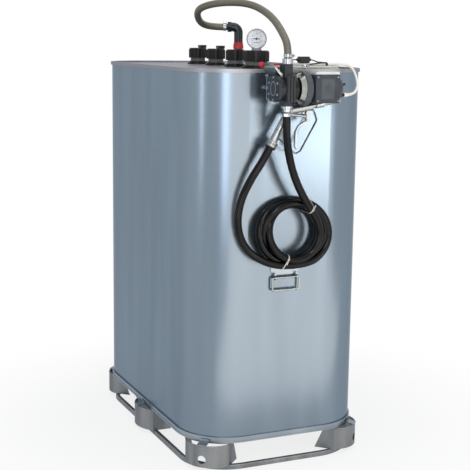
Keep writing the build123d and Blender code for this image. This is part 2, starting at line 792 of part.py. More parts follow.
def pump_bracket():
    """Galvanised bracket on the front face, with arms to the pump and motor."""
    high = TOP_Z - RIM_LOW - BRACKET_T
    left = BRACKET_LEFT
    right = left + BRACKET_W
    back = FRONT_Y - BRACKET_T
    low = PUMP_Z - BRACKET_H / 2
    plate = block(left, right, back, FRONT_Y - FIT, high - BRACKET_H, high)
    shell = along_x(BODY_X0, BODY_X1, BODY_R + FIT)
    motor_x = MOTOR_END_X - ARM_W * 2
    arm = block(BODY_X0 + 1, BODY_X0 + ARM_W, PUMP_Y, back, PUMP_Z - ARM_H / 2, PUMP_Z + ARM_H / 2)
    rest = block(motor_x - BRACKET_T, motor_x, PUMP_Y, back, low, high)
    rest = rest - along_x(RING_X1, MOTOR_END_X, MOTOR_R + FIT)
    box_back = PUMP_Y + BOX_BACK + FIT
    rest = rest - block(BOX_LEFT, MOTOR_END_X, PUMP_Y - BOX_FRONT, box_back, low, high)
    foot_x = left + STRAP_FOOT
    line = [
        (foot_x, high - STRAP_FOOT),
        (foot_x, high + 1),
        (foot_x - STRAP_W + BRACKET_T, high + STRAP_RISE),
        (foot_x - STRAP_W, high + STRAP_RISE - BRACKET_T),
        (foot_x - BRACKET_T, high - STRAP_FOOT),
    ]
    plane = Plane(origin=(0, FRONT_Y - STRAP_GAP, 0), x_dir=(1, 0, 0), z_dir=(0, -1, 0))
    strap = extrude(plane * polygon(line), PUMP_OUT + STRAP_OUT - STRAP_GAP)
    foot = block(left, foot_x, FRONT_Y - STRAP_GAP - BRACKET_T, back + 1, high - STRAP_FOOT, high)
    return plate + (arm - shell) + rest + (strap - shell) + foot


def inlet_fitting():
    """Hose barb on top of the pump's column."""
    collar = rod((PUMP_X, PUMP_Y, COLUMN_TOP), (0, 0, 1), FITTING_R, 20 - FIT)
    return collar


def outlet_fitting():
    """Flanged hose tail under the pump's column."""
    top = (PUMP_X, PUMP_Y, COLUMN_LOW)
    flange = rod(top, (0, 0, -1), OUTLET_FLANGE_R, 8)
    return flange + rod((PUMP_X, PUMP_Y, COLUMN_LOW - 8), (0, 0, -1), FITTING_R - 4, 14 - FIT)


def hose_clamps():
    """Worm clamps at the three hose ends."""
    rings = []
    nut_end = elbow_frame()[3]
    out = elbow_frame()[2]
    suction_bore = SUCTION_D / 2 + FIT
    hose_bore = HOSE_D / 2 + FIT
    rings.append(rod(nut_end + out * 6, out, suction_bore + CLAMP_T, CLAMP_W, suction_bore))
    inlet = (PUMP_X, PUMP_Y, COLUMN_TOP + 24)
    rings.append(rod(inlet, (0, 0, 1), suction_bore + CLAMP_T, CLAMP_W, suction_bore))
    outlet = (PUMP_X, PUMP_Y, COLUMN_LOW - 26)
    rings.append(rod(outlet, (0, 0, -1), hose_bore + CLAMP_T, CLAMP_W, hose_bore))
    return Compound(children=rings)


def nozzle_swivel():
    """Swivel between the hose and the nozzle."""
    inlet, along, _, _ = nozzle_frame()
    start = inlet - along * (SWIVEL_L - FIT)
    return rod(start, along, SWIVEL_R, SWIVEL_L - 2 * FIT)


def lever_pivot():
    """Point on the pin of the nozzle's lever."""
    return by_pump(LEVER_PIN_AT)


def nozzle_body():
    """Cast nozzle body with its grip, head, lever ears and lever pin."""
    inlet, along, knuckle, spout = nozzle_frame()
    reach = (knuckle - inlet).length
    grip = rod(inlet, along, GRIP_R, reach)
    head = rod(knuckle - spout * SPOUT_BACK, spout, NOZZLE_R, HEAD_L)
    body = grip + Pos(*knuckle) * Sphere(NOZZLE_R + 1) + head
    boss_start, boss_end = by_pump(BOSS_FROM), by_pump(BOSS_TO)
    body += rod(boss_start, (boss_end - boss_start).normalized(), BOSS_R, (boss_end - boss_start).length)
    pivot = lever_pivot()
    inner = LEVER_W / 2 + FIT
    for side in (-1, 1):
        start = (pivot.X, pivot.Y + side * inner, pivot.Z)
        eye = rod(start, (0, side, 0), LEVER_EYE_R, LEVER_EAR_T)
        lo, hi = sorted((pivot.Y + side * inner, pivot.Y + side * (inner + LEVER_EAR_T)))
        ear = block(pivot.X - LEVER_EYE_R, pivot.X + LEVER_EYE_R, lo, hi, pivot.Z, pivot.Z + LEVER_EAR_H)
        body += eye + ear
    return body + rod(pivot - Vector(0, inner, 0), (0, 1, 0), LEVER_PIN_R, 2 * inner)


def nozzle_spout():
    """Spout tube."""
    _, _, knuckle, spout = nozzle_frame()
    start = knuckle + spout * (HEAD_L - SPOUT_BACK + FIT)
    return rod(start, spout, SPOUT_R, (by_pump(SPOUT_TIP_AT) - start).length, SPOUT_R - SPOUT_T)


def nozzle_guard():
    """Bent strip that guards the lever, from the head round to the grip's foot."""
    plane = Plane(origin=(PUMP_X, NOZZLE_Y, PUMP_Z), x_dir=(1, 0, 0), z_dir=(0, -1, 0))
    line = FilletPolyline(*GUARD_LINE, radius=GUARD_BEND_R)
    face = trace(line, GUARD_T)
    guard = extrude(plane * face, GUARD_W / 2, both=True)
    return guard - nozzle_body_clearance()


def nozzle_body_clearance():
    """Space kept clear for the nozzle body."""
    inlet, along, knuckle, spout = nozzle_frame()
    reach = (knuckle - inlet).length
    grip = rod(inlet, along, GRIP_R + FIT, reach)
    head = rod(knuckle - spout * SPOUT_BACK, spout, NOZZLE_R + FIT, HEAD_L)
    return grip + Pos(*knuckle) * Sphere(NOZZLE_R + 1 + FIT) + head


def nozzle_lever():
    """Trigger lever inside the guard, with the eye it turns on."""
    pivot = lever_pivot()
    plane = Plane(origin=(PUMP_X, NOZZLE_Y, PUMP_Z), x_dir=(1, 0, 0), z_dir=(0, -1, 0))
    line = FilletPolyline(LEVER_PIN_AT, *LEVER_LINE, radius=LEVER_BEND_R)
    lever = extrude(plane * trace(line, LEVER_T), LEVER_W / 2, both=True)
    lever += rod(pivot - Vector(0, LEVER_W / 2, 0), (0, 1, 0), LEVER_EYE_R, LEVER_W)
    return lever - rod(pivot - Vector(0, LEVER_W, 0), (0, 1, 0), LEVER_PIN_R + LEVER_PIN_GAP, 2 * LEVER_W)


def nozzle_holder():
    """Sleeve on a plate that carries the spout."""
    _, _, knuckle, spout = nozzle_frame()
    start = knuckle + spout * HOLDER_AT
    sleeve = rod(start, spout, SPOUT_R + FIT + HOLDER_T, HOLDER_L, SPOUT_R + FIT)
    middle = start + spout * (HOLDER_L / 2)
    foot = block(
        middle.X - HOLDER_L / 2,
        middle.X + HOLDER_L / 2,
        NOZZLE_Y + SPOUT_R + HOLDER_T - 1,
        FRONT_Y - FIT,
        middle.Z - HOLDER_FOOT_H / 2,
        middle.Z + HOLDER_FOOT_H / 2,
    )
    return sleeve + foot


def handle_frame(end):
    """Outward sign and wall position of an end's handle."""
    return (-1, FRONT_Y) if end == "front" else (1, REAR_Y)


def handle_plate(end):
    """Backing plate with two ears for the drop handle."""
    sign, wall_y = handle_frame(end)
    half = HANDLE_W / 2
    near = wall_y + sign * FIT
    low = HANDLE_Z + HANDLE_PLATE_UP
    slope = HANDLE_PLATE_SLOPE
    line = [
        (HANDLE_X - half + slope, low),
        (HANDLE_X + half - slope, low),
        (HANDLE_X + half, low + slope),
        (HANDLE_X + half, low + HANDLE_PLATE_H),
        (HANDLE_X - half, low + HANDLE_PLATE_H),
        (HANDLE_X - half, low + slope),
    ]
    plane = Plane(origin=(0, near, 0), x_dir=(1, 0, 0), z_dir=(0, -1, 0))
    body = extrude(plane * polygon(line), -sign * HANDLE_PLATE_T)
    axis_y = wall_y + sign * HANDLE_OUT
    ear_r = HANDLE_ROD
    for side in (-1, 1):
        middle = HANDLE_X + side * (half - HANDLE_EAR_IN)
        lug = block(
            middle - HANDLE_EAR_T / 2,
            middle + HANDLE_EAR_T / 2,
            min(near, axis_y),
            max(near, axis_y),
            HANDLE_Z - ear_r,
            low + ear_r,
        )
        eye = rod((middle - HANDLE_EAR_T / 2, axis_y, HANDLE_Z), (1, 0, 0), ear_r, HANDLE_EAR_T)
        body = body + lug + eye
    bore = HANDLE_ROD / 2 + HANDLE_BORE_GAP
    return body - rod((HANDLE_X - half, axis_y, HANDLE_Z), (1, 0, 0), bore, HANDLE_W)


def handle_bail(end):
    """Drop handle of bent rod that hangs from its two ears."""
    sign, wall_y = handle_frame(end)
    axis_y = wall_y + sign * HANDLE_OUT
    half = HANDLE_W / 2 - HANDLE_ROD / 2
    low = HANDLE_Z - HANDLE_DROP
    start = (HANDLE_X - half + HANDLE_ROD, axis_y, HANDLE_Z)
    points = [
        start,
        (HANDLE_X - half, axis_y, HANDLE_Z),
        (HANDLE_X - half, axis_y, low),
        (HANDLE_X + half, axis_y, low),
        (HANDLE_X + half, axis_y, HANDLE_Z),
        (HANDLE_X + half - HANDLE_ROD, axis_y, HANDLE_Z),
    ]
    path = FilletPolyline(*points, radius=HANDLE_ROD * 0.7)
    loop = sweep(Plane(origin=start, z_dir=(-1, 0, 0)) * Circle(HANDLE_ROD / 2), path)
    return loop + rod(start, (1, 0, 0), HANDLE_ROD / 2, 2 * (half - HANDLE_ROD))


def near_strand():
    """Depth of the lead coil's near run and height of the coil's top."""
    y = FRONT_Y + LEAD_COIL_BACK - LEAD_COIL_W / 2 + LEAD_COIL_BAND / 2
    return y, TOP_Z + FIT + LEAD_COIL_H


def lead_route():
    """Points of the power lead from the gland up over the rim into its coil on the roof."""
    start_x = MOTOR_END_X + GLAND_L
    z = PUMP_Z - GLAND_DROP
    y, top = near_strand()
    right = LEAD_COIL_LEFT + LEAD_COIL_L
    return [
        (start_x, PUMP_Y, z),
        (start_x + 40, PUMP_Y, z),
        (start_x + 69, PUMP_Y + 12, z + 27),
        (start_x + 77, PUMP_Y + 38, z + 63),
        (start_x + 76, PUMP_Y + 68, RIM_TOP + 5),
        (right, FRONT_Y - 1, RIM_TOP + 18),
        (right - 42, y - 2, top - LEAD_D),
        (right - 92, y, top - 1.2 * LEAD_D),
    ]


def lead_hank():
    """Flat coil of the spare lead, lying on the roof behind the front rim."""
    middle = LEAD_COIL_LEFT + LEAD_COIL_L / 2
    inner = 2 * LEAD_COIL_BAND
    ring = SlotOverall(LEAD_COIL_L, LEAD_COIL_W) - SlotOverall(LEAD_COIL_L - inner, LEAD_COIL_W - inner)
    return extrude(Pos(middle, FRONT_Y + LEAD_COIL_BACK, TOP_Z + FIT) * ring, LEAD_COIL_H)


def fuse_frame():
    """Centre of the in-line fuse holder on the lead coil."""
    y, top = near_strand()
    return Vector(FUSE_LEFT + FUSE_L / 2, y, top + FIT + FUSE_H / 2)


def fuse_holder():
    """In-line fuse holder with a tapered boot at each end."""
    centre = fuse_frame()
    body = Pos(*centre) * Box(FUSE_L * 0.7, FUSE_W, FUSE_H)
    body = fillet(body.edges().filter_by(Axis.X), 4)
    for side in (-1, 1):
        turn = Rot(0, side * 90, 0)
        place = Pos(centre.X + side * FUSE_L * 0.425, centre.Y, centre.Z)
        body += place * turn * Cone(FUSE_H * 0.4, FUSE_H * 0.2, FUSE_L * 0.15)
    return body


def clamp_frame():
    """Middle line of the battery clamp that lies on the front rim."""
    return FRONT_Y + 4, RIM_TOP + FIT + CLAMP_JAW_W / 2


def clamp_jaws():
    """Two sprung jaws of the battery clamp, shut on each other."""
    y, z = clamp_frame()
    x = CLAMP_TIP_X
    half = CLAMP_JAW_W / 2
    outline_points = [
        (x, z - 4),
        (x + 4, z - half),
        (x + CLAMP_JAW_L, z - half),
        (x + CLAMP_JAW_L, z + half),
        (x + 4, z + half),
        (x, z + 4),
    ]
    plane = Plane(origin=(0, y, 0), x_dir=(1, 0, 0), z_dir=(0, -1, 0))
    return extrude(plane * polygon(outline_points), CLAMP_THICK / 2, both=True)


def clamp_grips():
    """Two insulated grips of the battery clamp."""
    y, z = clamp_frame()
    x = CLAMP_TIP_X + CLAMP_JAW_L
    end = CLAMP_TIP_X + CLAMP_L
    half = CLAMP_JAW_W / 2
    plane = Plane(origin=(0, y, 0), x_dir=(1, 0, 0), z_dir=(0, -1, 0))
    grips = []
    for side in (-1, 1):
        points = [
            (x, z + side * half),
            (end, z + side * half),
            (end, z + side * (half - GRIP_THICK)),
            (x, z + side * (half - GRIP_THICK)),
        ]
        grip = extrude(plane * polygon(points), CLAMP_THICK / 2, both=True)
        grips.append(fillet(grip.edges().filter_by(Axis.X), 2))
    return Compound(children=grips)


def fuse_wires():
    """Single wires on both sides of the fuse holder."""
    centre = fuse_frame()
    left = centre.X - FUSE_L / 2
    right = centre.X + FUSE_L / 2
    y, top = near_strand()
    clamp_y, clamp_z = clamp_frame()
    wire_z = clamp_z + CLAMP_JAW_W / 2 - GRIP_THICK / 2
    clamp_end = CLAMP_TIP_X + CLAMP_L
    to_clamp = [
        (left, y, centre.Z),
        (left - 14, y, centre.Z),
        (clamp_end + 16, clamp_y, wire_z),
        (clamp_end, clamp_y, wire_z),
    ]
    to_bundle = [
        (right, y, centre.Z),
        (right + 14, y, centre.Z),
        (right + 40, y, top + WIRE_D / 2 + FIT),
        (right + 56, y, top + WIRE_D / 2 + FIT),
    ]
    wires = [cord_tube("fuse_wire_left", to_clamp, WIRE_D), cord_tube("fuse_wire_right", to_bundle, WIRE_D)]
    return Compound(children=wires)


def build():
    """All nodes by name."""
    nodes = {
        "tank_jacket": tank_jacket(),
        "tank_bottom": tank_bottom(),
        "tank_top": tank_top(),
        "inner_tank": inner_tank(),
        "base_ring": base_ring(),
        "foot_rear_right": corner_foot(45),
        "foot_rear_left": corner_foot(135),
        "foot_front_left": corner_foot(225),
        "foot_front_right": corner_foot(315),
        "side_foot_left": side_foot(-1),
        "side_foot_right": side_foot(1),
        "foot_clips": foot_clips(),
        "neck_collars": neck_collars(),
        "cap_fill": screw_cap(NECK_YS[0], NECK_R, PORT_OFFSET),
        "cap_vent": screw_cap(NECK_YS[1], NECK_R, PORT_OFFSET),
        "cap_suction": screw_cap(NECK_YS[2], NECK_R, SUCTION_OFFSET),
        "cap_gauge": screw_cap(NECK_YS[3], BIG_NECK_R),
        "cap_plugs": cap_plugs(),
        "suction_union": suction_union(),
        "suction_elbow": suction_elbow(),
        "suction_hose": cord_tube("suction_hose", suction_route(), SUCTION_D),
        "gauge_case": gauge_case(),
        "gauge_dial": gauge_dial(),
        "gauge_glass": gauge_glass(),
        "pump_body": pump_body(),
        "pump_cover": pump_cover(),
        "pump_flange": pump_flange(),
        "motor_bell": motor_bell(),
        "motor_ring": motor_ring(),
        "motor_shell": motor_shell(),
        "terminal_box": terminal_box(),
        "box_rail": box_rail(),
        "cable_gland": cable_gland(),
        "switch_base": switch_base(),
        "switch_lever": switch_lever(),
        "pump_bracket": pump_bracket(),
        "inlet_fitting": inlet_fitting(),
        "outlet_fitting": outlet_fitting(),
        "hose_clamps": hose_clamps(),
        "hose_drop": cord_tube("hose_drop", drop_route(), HOSE_D) - hose_coil(),
        "hose_coil": hose_coil(),
        "hose_return": cord_tube("hose_return", return_route(), HOSE_D) - hose_coil(),
        "hose_ties": hose_ties(),
        "nozzle_swivel": nozzle_swivel(),
        "nozzle_body": nozzle_body(),
        "nozzle_spout": nozzle_spout(),
        "nozzle_guard": nozzle_guard(),
        "nozzle_lever": nozzle_lever(),
        "nozzle_holder": nozzle_holder(),
        "lead_cable": cord_tube("lead_cable", lead_route(), LEAD_D) - lead_hank(),
        "lead_hank": lead_hank(),
        "fuse_holder": fuse_holder(),
        "fuse_wires": fuse_wires(),
        "clamp_jaws": clamp_jaws(),
        "clamp_grips": clamp_grips(),
    }
    for end in ("front", "rear"):
        nodes[f"handle_plate_{end}"] = handle_plate(end)
        nodes[f"handle_bail_{end}"] = handle_bail(end)
    return nodes


def main():
    """Write one STEP file per node."""
    os.makedirs("parts", exist_ok=True)
    for name, shape in build().items():
        export_step(shape, f"parts/{name}.step")


if __name__ == "__main__":
    main()
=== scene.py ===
"""Fuel dispensing tank, dressed for rendering round its packed construction.

The construction gives every rigid piece its shape and place, in metres, with +Z up and the pump
end facing -Y. This file gives each piece its finish, lays the hoses and the power lead, and adds
the small fittings: screws, rivets, dial marks and clamp housings.
"""

from __future__ import annotations

import json
import logging
import math
from dataclasses import dataclass, field
from enum import Enum

import bmesh
import bpy
from mathutils import Matrix, Vector

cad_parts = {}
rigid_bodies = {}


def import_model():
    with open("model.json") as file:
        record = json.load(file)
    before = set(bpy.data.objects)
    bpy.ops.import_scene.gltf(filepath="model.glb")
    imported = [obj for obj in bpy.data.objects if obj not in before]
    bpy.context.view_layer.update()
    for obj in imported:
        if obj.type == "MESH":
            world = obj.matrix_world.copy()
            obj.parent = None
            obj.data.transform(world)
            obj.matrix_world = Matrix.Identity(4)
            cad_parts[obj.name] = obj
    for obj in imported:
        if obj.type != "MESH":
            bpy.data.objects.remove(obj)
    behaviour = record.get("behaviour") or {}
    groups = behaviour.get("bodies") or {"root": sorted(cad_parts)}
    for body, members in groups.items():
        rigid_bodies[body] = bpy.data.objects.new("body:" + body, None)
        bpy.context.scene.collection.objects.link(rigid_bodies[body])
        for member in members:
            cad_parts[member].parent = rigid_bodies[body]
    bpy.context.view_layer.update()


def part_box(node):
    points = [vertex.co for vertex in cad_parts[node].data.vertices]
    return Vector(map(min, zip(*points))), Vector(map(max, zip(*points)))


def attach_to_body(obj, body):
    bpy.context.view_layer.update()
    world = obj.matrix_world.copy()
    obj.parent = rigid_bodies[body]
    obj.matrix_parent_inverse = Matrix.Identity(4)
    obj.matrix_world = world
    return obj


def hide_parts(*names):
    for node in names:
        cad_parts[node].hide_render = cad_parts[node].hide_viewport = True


LOG = logging.getLogger("tank")
MM = 0.001
TANK_BODY = "tank"
SWIVEL_LEAN = Vector((67.0, 0.0, 118.0)).normalized()

Point = tuple[float, float, float]
Pair = tuple[float, float]


class Head(Enum):
    """Form of a fastener's head, as the number of its sides."""

    HEX = 6
    ROUND = 20


class Stiffness(Enum):
    """How readily a cord bends."""

    LIMP = "limp"
    MEDIUM = "medium"
    STIFF = "stiff"


class Lay(Enum):
    """How a cord lies."""

    COILED = "coiled"
    LOOSE = "loose"
    TAUT = "taut"


class FarEnd(Enum):
    """What a cord's far end is, or goes into."""

    OBJECT = "object"
    CONNECTOR = "connector"


def to_linear(code: str) -> tuple[float, float, float, float]:
    """Turn an sRGB hex colour into linear light.

    Args:
        code: Six hex digits after a hash sign.

    Returns:
        Red, green, blue and an alpha of one.
    """
    values = []
    for place in (1, 3, 5):
        share = int(code[place : place + 2], 16) / 255
        values.append(share / 12.92 if share <= 0.04045 else ((share + 0.055) / 1.055) ** 2.4)
    return (values[0], values[1], values[2], 1.0)


def add_node(
    tree: bpy.types.NodeTree,
    kind: str,
    inputs: dict | None = None,
    stops: tuple[tuple[float, str], ...] = (),
    **settings,
) -> bpy.types.Node:
    """Add one node with its settings, values and links.

    Args:
        tree: The node tree that gets the node.
        kind: Blender's name of the node's type.
        inputs: Socket name or number to a value, or to the output socket that feeds it.
        stops: Places and hex colours, where the node is a colour ramp.
        settings: Plain attributes of the node.

    Returns:
        The new node.
    """
    node = tree.nodes.new(kind)
    for name, value in settings.items():
        setattr(node, name, value)
    for key, value in (inputs or {}).items():
        if isinstance(value, bpy.types.NodeSocket):
            tree.links.new(value, node.inputs[key])
        else:
            node.inputs[key].default_value = value
    if stops:
        for element, (place, code) in zip(node.color_ramp.elements, stops):
            element.position = place
            element.color = to_linear(code)
    return node


def start_material(name: str) -> tuple[bpy.types.Material, bpy.types.NodeTree]:
    """Start a node material with an empty tree.

    Args:
        name: Name of the finish.

    Returns:
        The material and its node tree.
    """
    material = bpy.data.materials.new(name)
    material.use_nodes = True
    material.node_tree.nodes.clear()
    return material, material.node_tree


def close_material(tree: bpy.types.NodeTree, inputs: dict) -> None:
    """End a material with its surface shader.

    Args:
        tree: The material's node tree.
        inputs: The shader's socket names to values, or to the sockets that feed them.
    """
    shader = add_node(tree, "ShaderNodeBsdfPrincipled", inputs)
    add_node(tree, "ShaderNodeOutputMaterial", {"Surface": shader.outputs["BSDF"]})


@dataclass(frozen=True)
class ZincSheet:
    """Rolled steel with a smooth zinc coat: a satin metal with long soft rolling streaks.

    The coat's crystals are small and low in contrast, so the eye reads a blue-grey satin with
    slow vertical changes of tone rather than a flaked pattern. The edge colour keeps a face seen
    at a low angle from turning white.
    """

    name: str
    low: str
    high: str
    roughness: float
    metallic: float = 0.92
    edge: str = "#C6CDD5"
    streak_mm: float = 90.0
    streak_share: float = 0.12
    spangle_mm: float = 9.0
    spangle_share: float = 0.07
    ripple_mm: float = 6.0
    sheen_change: float = 0.015

    def build(self) -> bpy.types.Material:
        """Make the material.

        Returns:
            The finished material.
        """
        material, tree = start_material(self.name)
        place = add_node(tree, "ShaderNodeTexCoord").outputs["Object"]
        stretched = add_node(
            tree, "ShaderNodeMapping", {"Vector": place, "Scale": (1.0, 1.0, self.streak_share)}
        )
        streak = add_node(
            tree,
            "ShaderNodeTexNoise",
            {"Vector": stretched.outputs["Vector"], "Scale": 1 / (self.streak_mm * MM), "Detail": 1.0},
        )
        spangle = add_node(
            tree, "ShaderNodeTexVoronoi", {"Vector": place, "Scale": 1 / (self.spangle_mm * MM)}
        )
        speck = add_node(tree, "ShaderNodeRGBToBW", {"Color": spangle.outputs["Color"]})
        blend = add_node(
            tree,
            "ShaderNodeMath",
            {0: speck.outputs["Val"], 1: self.spangle_share, 2: streak.outputs["Fac"]},
            operation="MULTIPLY_ADD",
        )
        colour = add_node(
            tree,
            "ShaderNodeValToRGB",
            {"Fac": blend.outputs["Value"]},
            stops=((0.36, self.low), (0.78, self.high)),
        )
        rough = add_node(
            tree,
            "ShaderNodeMapRange",
            {
                "Value": streak.outputs["Fac"],
                "From Min": 0.3,
                "From Max": 0.7,
                "To Min": self.roughness - self.sheen_change,
                "To Max": self.roughness + self.sheen_change,
            },
        )
        fine = add_node(
            tree, "ShaderNodeTexNoise", {"Vector": place, "Scale": 1 / (self.ripple_mm * MM), "Detail": 2.0}
        )
        bump = add_node(
            tree, "ShaderNodeBump", {"Height": fine.outputs["Fac"], "Strength": 0.05, "Distance": 0.4 * MM}
        )
        close_material(
            tree,
            {
                "Base Color": colour.outputs["Color"],
                "Roughness": rough.outputs["Result"],
                "Normal": bump.outputs["Normal"],
                "Metallic": self.metallic,
                "Specular Tint": to_linear(self.edge),
            },
        )
        return material


@dataclass(frozen=True)
class MouldedPlastic:
    """Injection-moulded polymer or thick paint: even colour, fine grain and a soft gloss."""

    name: str
    colour: str
    shade: str
    roughness: float
    grain_mm: float = 1.6
    cloud_mm: float = 40.0
    depth: float = 0.12
    coat: float = 0.0
    coat_roughness: float = 0.15
    specular: float = 0.25
    gloss_change: float = 0.06

    def build(self) -> bpy.types.Material:
        """Make the material.

        Returns:
            The finished material.
        """
        material, tree = start_material(self.name)
        place = add_node(tree, "ShaderNodeTexCoord").outputs["Object"]
        cloud = add_node(
            tree, "ShaderNodeTexNoise", {"Vector": place, "Scale": 1 / (self.cloud_mm * MM), "Detail": 3.0}
        )
        grain = add_node(
            tree, "ShaderNodeTexNoise", {"Vector": place, "Scale": 1 / (self.grain_mm * MM), "Detail": 2.0}
        )
        colour = add_node(
            tree,
            "ShaderNodeValToRGB",
            {"Fac": cloud.outputs["Fac"]},
            stops=((0.35, self.shade), (0.7, self.colour)),
        )
        rough = add_node(
            tree,
            "ShaderNodeMapRange",
            {
                "Value": grain.outputs["Fac"],
                "To Min": self.roughness - self.gloss_change,
                "To Max": self.roughness + self.gloss_change,
            },
        )
        bump = add_node(
            tree,
            "ShaderNodeBump",
            {"Height": grain.outputs["Fac"], "Strength": self.depth, "Distance": 0.2 * MM},
        )
        close_material(
            tree,
            {
                "Base Color": colour.outputs["Color"],
                "Roughness": rough.outputs["Result"],
                "Normal": bump.outputs["Normal"],
                "Specular IOR Level": self.specular,
                "Coat Weight": self.coat,
                "Coat Roughness": self.coat_roughness,
            },
        )
        return material


@dataclass(frozen=True)
class BrightMetal:
    """Plated or polished metal: mirror-like, with faint polishing haze."""

    name: str
    colour: str
    shade: str
    roughness: float
    haze_mm: float = 14.0
    haze_dulls: float = 0.12

    def build(self) -> bpy.types.Material:
        """Make the material.

        Returns:
            The finished material.
        """
        material, tree = start_material(self.name)
        place = add_node(tree, "ShaderNodeTexCoord").outputs["Object"]
        haze = add_node(
            tree, "ShaderNodeTexNoise", {"Vector": place, "Scale": 1 / (self.haze_mm * MM), "Detail": 4.0}
        )
        colour = add_node(
            tree,
            "ShaderNodeValToRGB",
            {"Fac": haze.outputs["Fac"]},
            stops=((0.3, self.shade), (0.65, self.colour)),
        )
        rough = add_node(
            tree,
            "ShaderNodeMapRange",
            {
                "Value": haze.outputs["Fac"],
                "From Min": 0.3,
                "From Max": 0.7,
                "To Min": self.roughness,
                "To Max": self.roughness + self.haze_dulls,
            },
        )
        close_material(
            tree,
            {
                "Base Color": colour.outputs["Color"],
                "Roughness": rough.outputs["Result"],
                "Metallic": 1.0,
            },
        )
        return material


@dataclass(frozen=True)
class HoseRubber:
    """Extruded black rubber hose: dark, smooth, with a long soft highlight along it."""

    name: str = "hose_rubber"
    colour: str = "#05070B"
    shade: str = "#030406"
    roughness: float = 0.13
    dust_mm: float = 25.0
    dust_dulls: Pair = (-0.05, 0.12)
    specular: float = 0.17

    def build(self) -> bpy.types.Material:
        """Make the material.

        Returns:
            The finished material.
        """
        material, tree = start_material(self.name)
        place = add_node(tree, "ShaderNodeTexCoord").outputs["Object"]
        dust = add_node(
            tree, "ShaderNodeTexNoise", {"Vector": place, "Scale": 1 / (self.dust_mm * MM), "Detail": 5.0}
        )
        colour = add_node(
            tree,
            "ShaderNodeValToRGB",
            {"Fac": dust.outputs["Fac"]},
            stops=((0.35, self.shade), (0.75, self.colour)),
        )
        rough = add_node(
            tree,
            "ShaderNodeMapRange",
            {
                "Value": dust.outputs["Fac"],
                "To Min": self.roughness + self.dust_dulls[0],
                "To Max": self.roughness + self.dust_dulls[1],
            },
        )
        close_material(
            tree,
            {
                "Base Color": colour.outputs["Color"],
                "Roughness": rough.outputs["Result"],
                "Specular IOR Level": self.specular,
            },
        )
        return material


@dataclass(frozen=True)
class BraidedSleeve:
    """Woven sleeve over a suction hose: crossing strands, olive-grey with a dull metal glint.

    The real strands are under a millimetre wide, too fine to show from the camera, so the weave
    is drawn coarser, at the pitch given here.
    """

    name: str = "braided_sleeve"
    low: str = "#25241E"
    high: str = "#737064"
    strands: float = 16.0
    pitch_mm: float = 9.0

    def build(self) -> bpy.types.Material:
        """Make the material, on the hose's own UV map (turn share, metres along).

        Returns:
            The finished material.
        """
        material, tree = start_material(self.name)
        uv = add_node(tree, "ShaderNodeUVMap", uv_map="along").outputs["UV"]
        split = add_node(tree, "ShaderNodeSeparateXYZ", {"Vector": uv})
        around = add_node(
            tree, "ShaderNodeMath", {0: split.outputs["X"], 1: self.strands * math.tau}, operation="MULTIPLY"
        )
        along = add_node(
            tree,
            "ShaderNodeMath",
            {0: split.outputs["Y"], 1: math.tau / (self.pitch_mm * MM)},
            operation="MULTIPLY",
        )
        waves = []
        for sign in ("ADD", "SUBTRACT"):
            mix = add_node(
                tree,
                "ShaderNodeMath",
                {0: along.outputs["Value"], 1: around.outputs["Value"]},
                operation=sign,
            )
            wave = add_node(tree, "ShaderNodeMath", {0: mix.outputs["Value"]}, operation="SINE")
            waves.append(wave.outputs["Value"])
        top = add_node(tree, "ShaderNodeMath", {0: waves[0], 1: waves[1]}, operation="MAXIMUM")
        height = add_node(
            tree, "ShaderNodeMapRange", {"Value": top.outputs["Value"], "From Min": -1.0, "From Max": 1.0}
        ).outputs["Result"]
        colour = add_node(
            tree, "ShaderNodeValToRGB", {"Fac": height}, stops=((0.25, self.low), (0.95, self.high))
        )
        bump = add_node(tree, "ShaderNodeBump", {"Height": height, "Strength": 0.6, "Distance": 0.8 * MM})
        close_material(
            tree,
            {
                "Base Color": colour.outputs["Color"],
                "Normal": bump.outputs["Normal"],
                "Metallic": 0.55,
                "Roughness": 0.42,
            },
        )
        return material


@dataclass(frozen=True)
class ClearWindow:
    """Moulded clear window: thin and glossy, so that the dial shows through it."""

    name: str = "clear_window"
    colour: str = "#F4F8FA"

    def build(self) -> bpy.types.Material:
        """Make the material.

        Returns:
            The finished material.
        """
        material, tree = start_material(self.name)
        close_material(
            tree,
            {
                "Base Color": to_linear(self.colour),
                "Roughness": 0.04,
                "Transmission Weight": 1.0,
                "IOR": 1.45,
                "Alpha": 0.25,
            },
        )
        return material


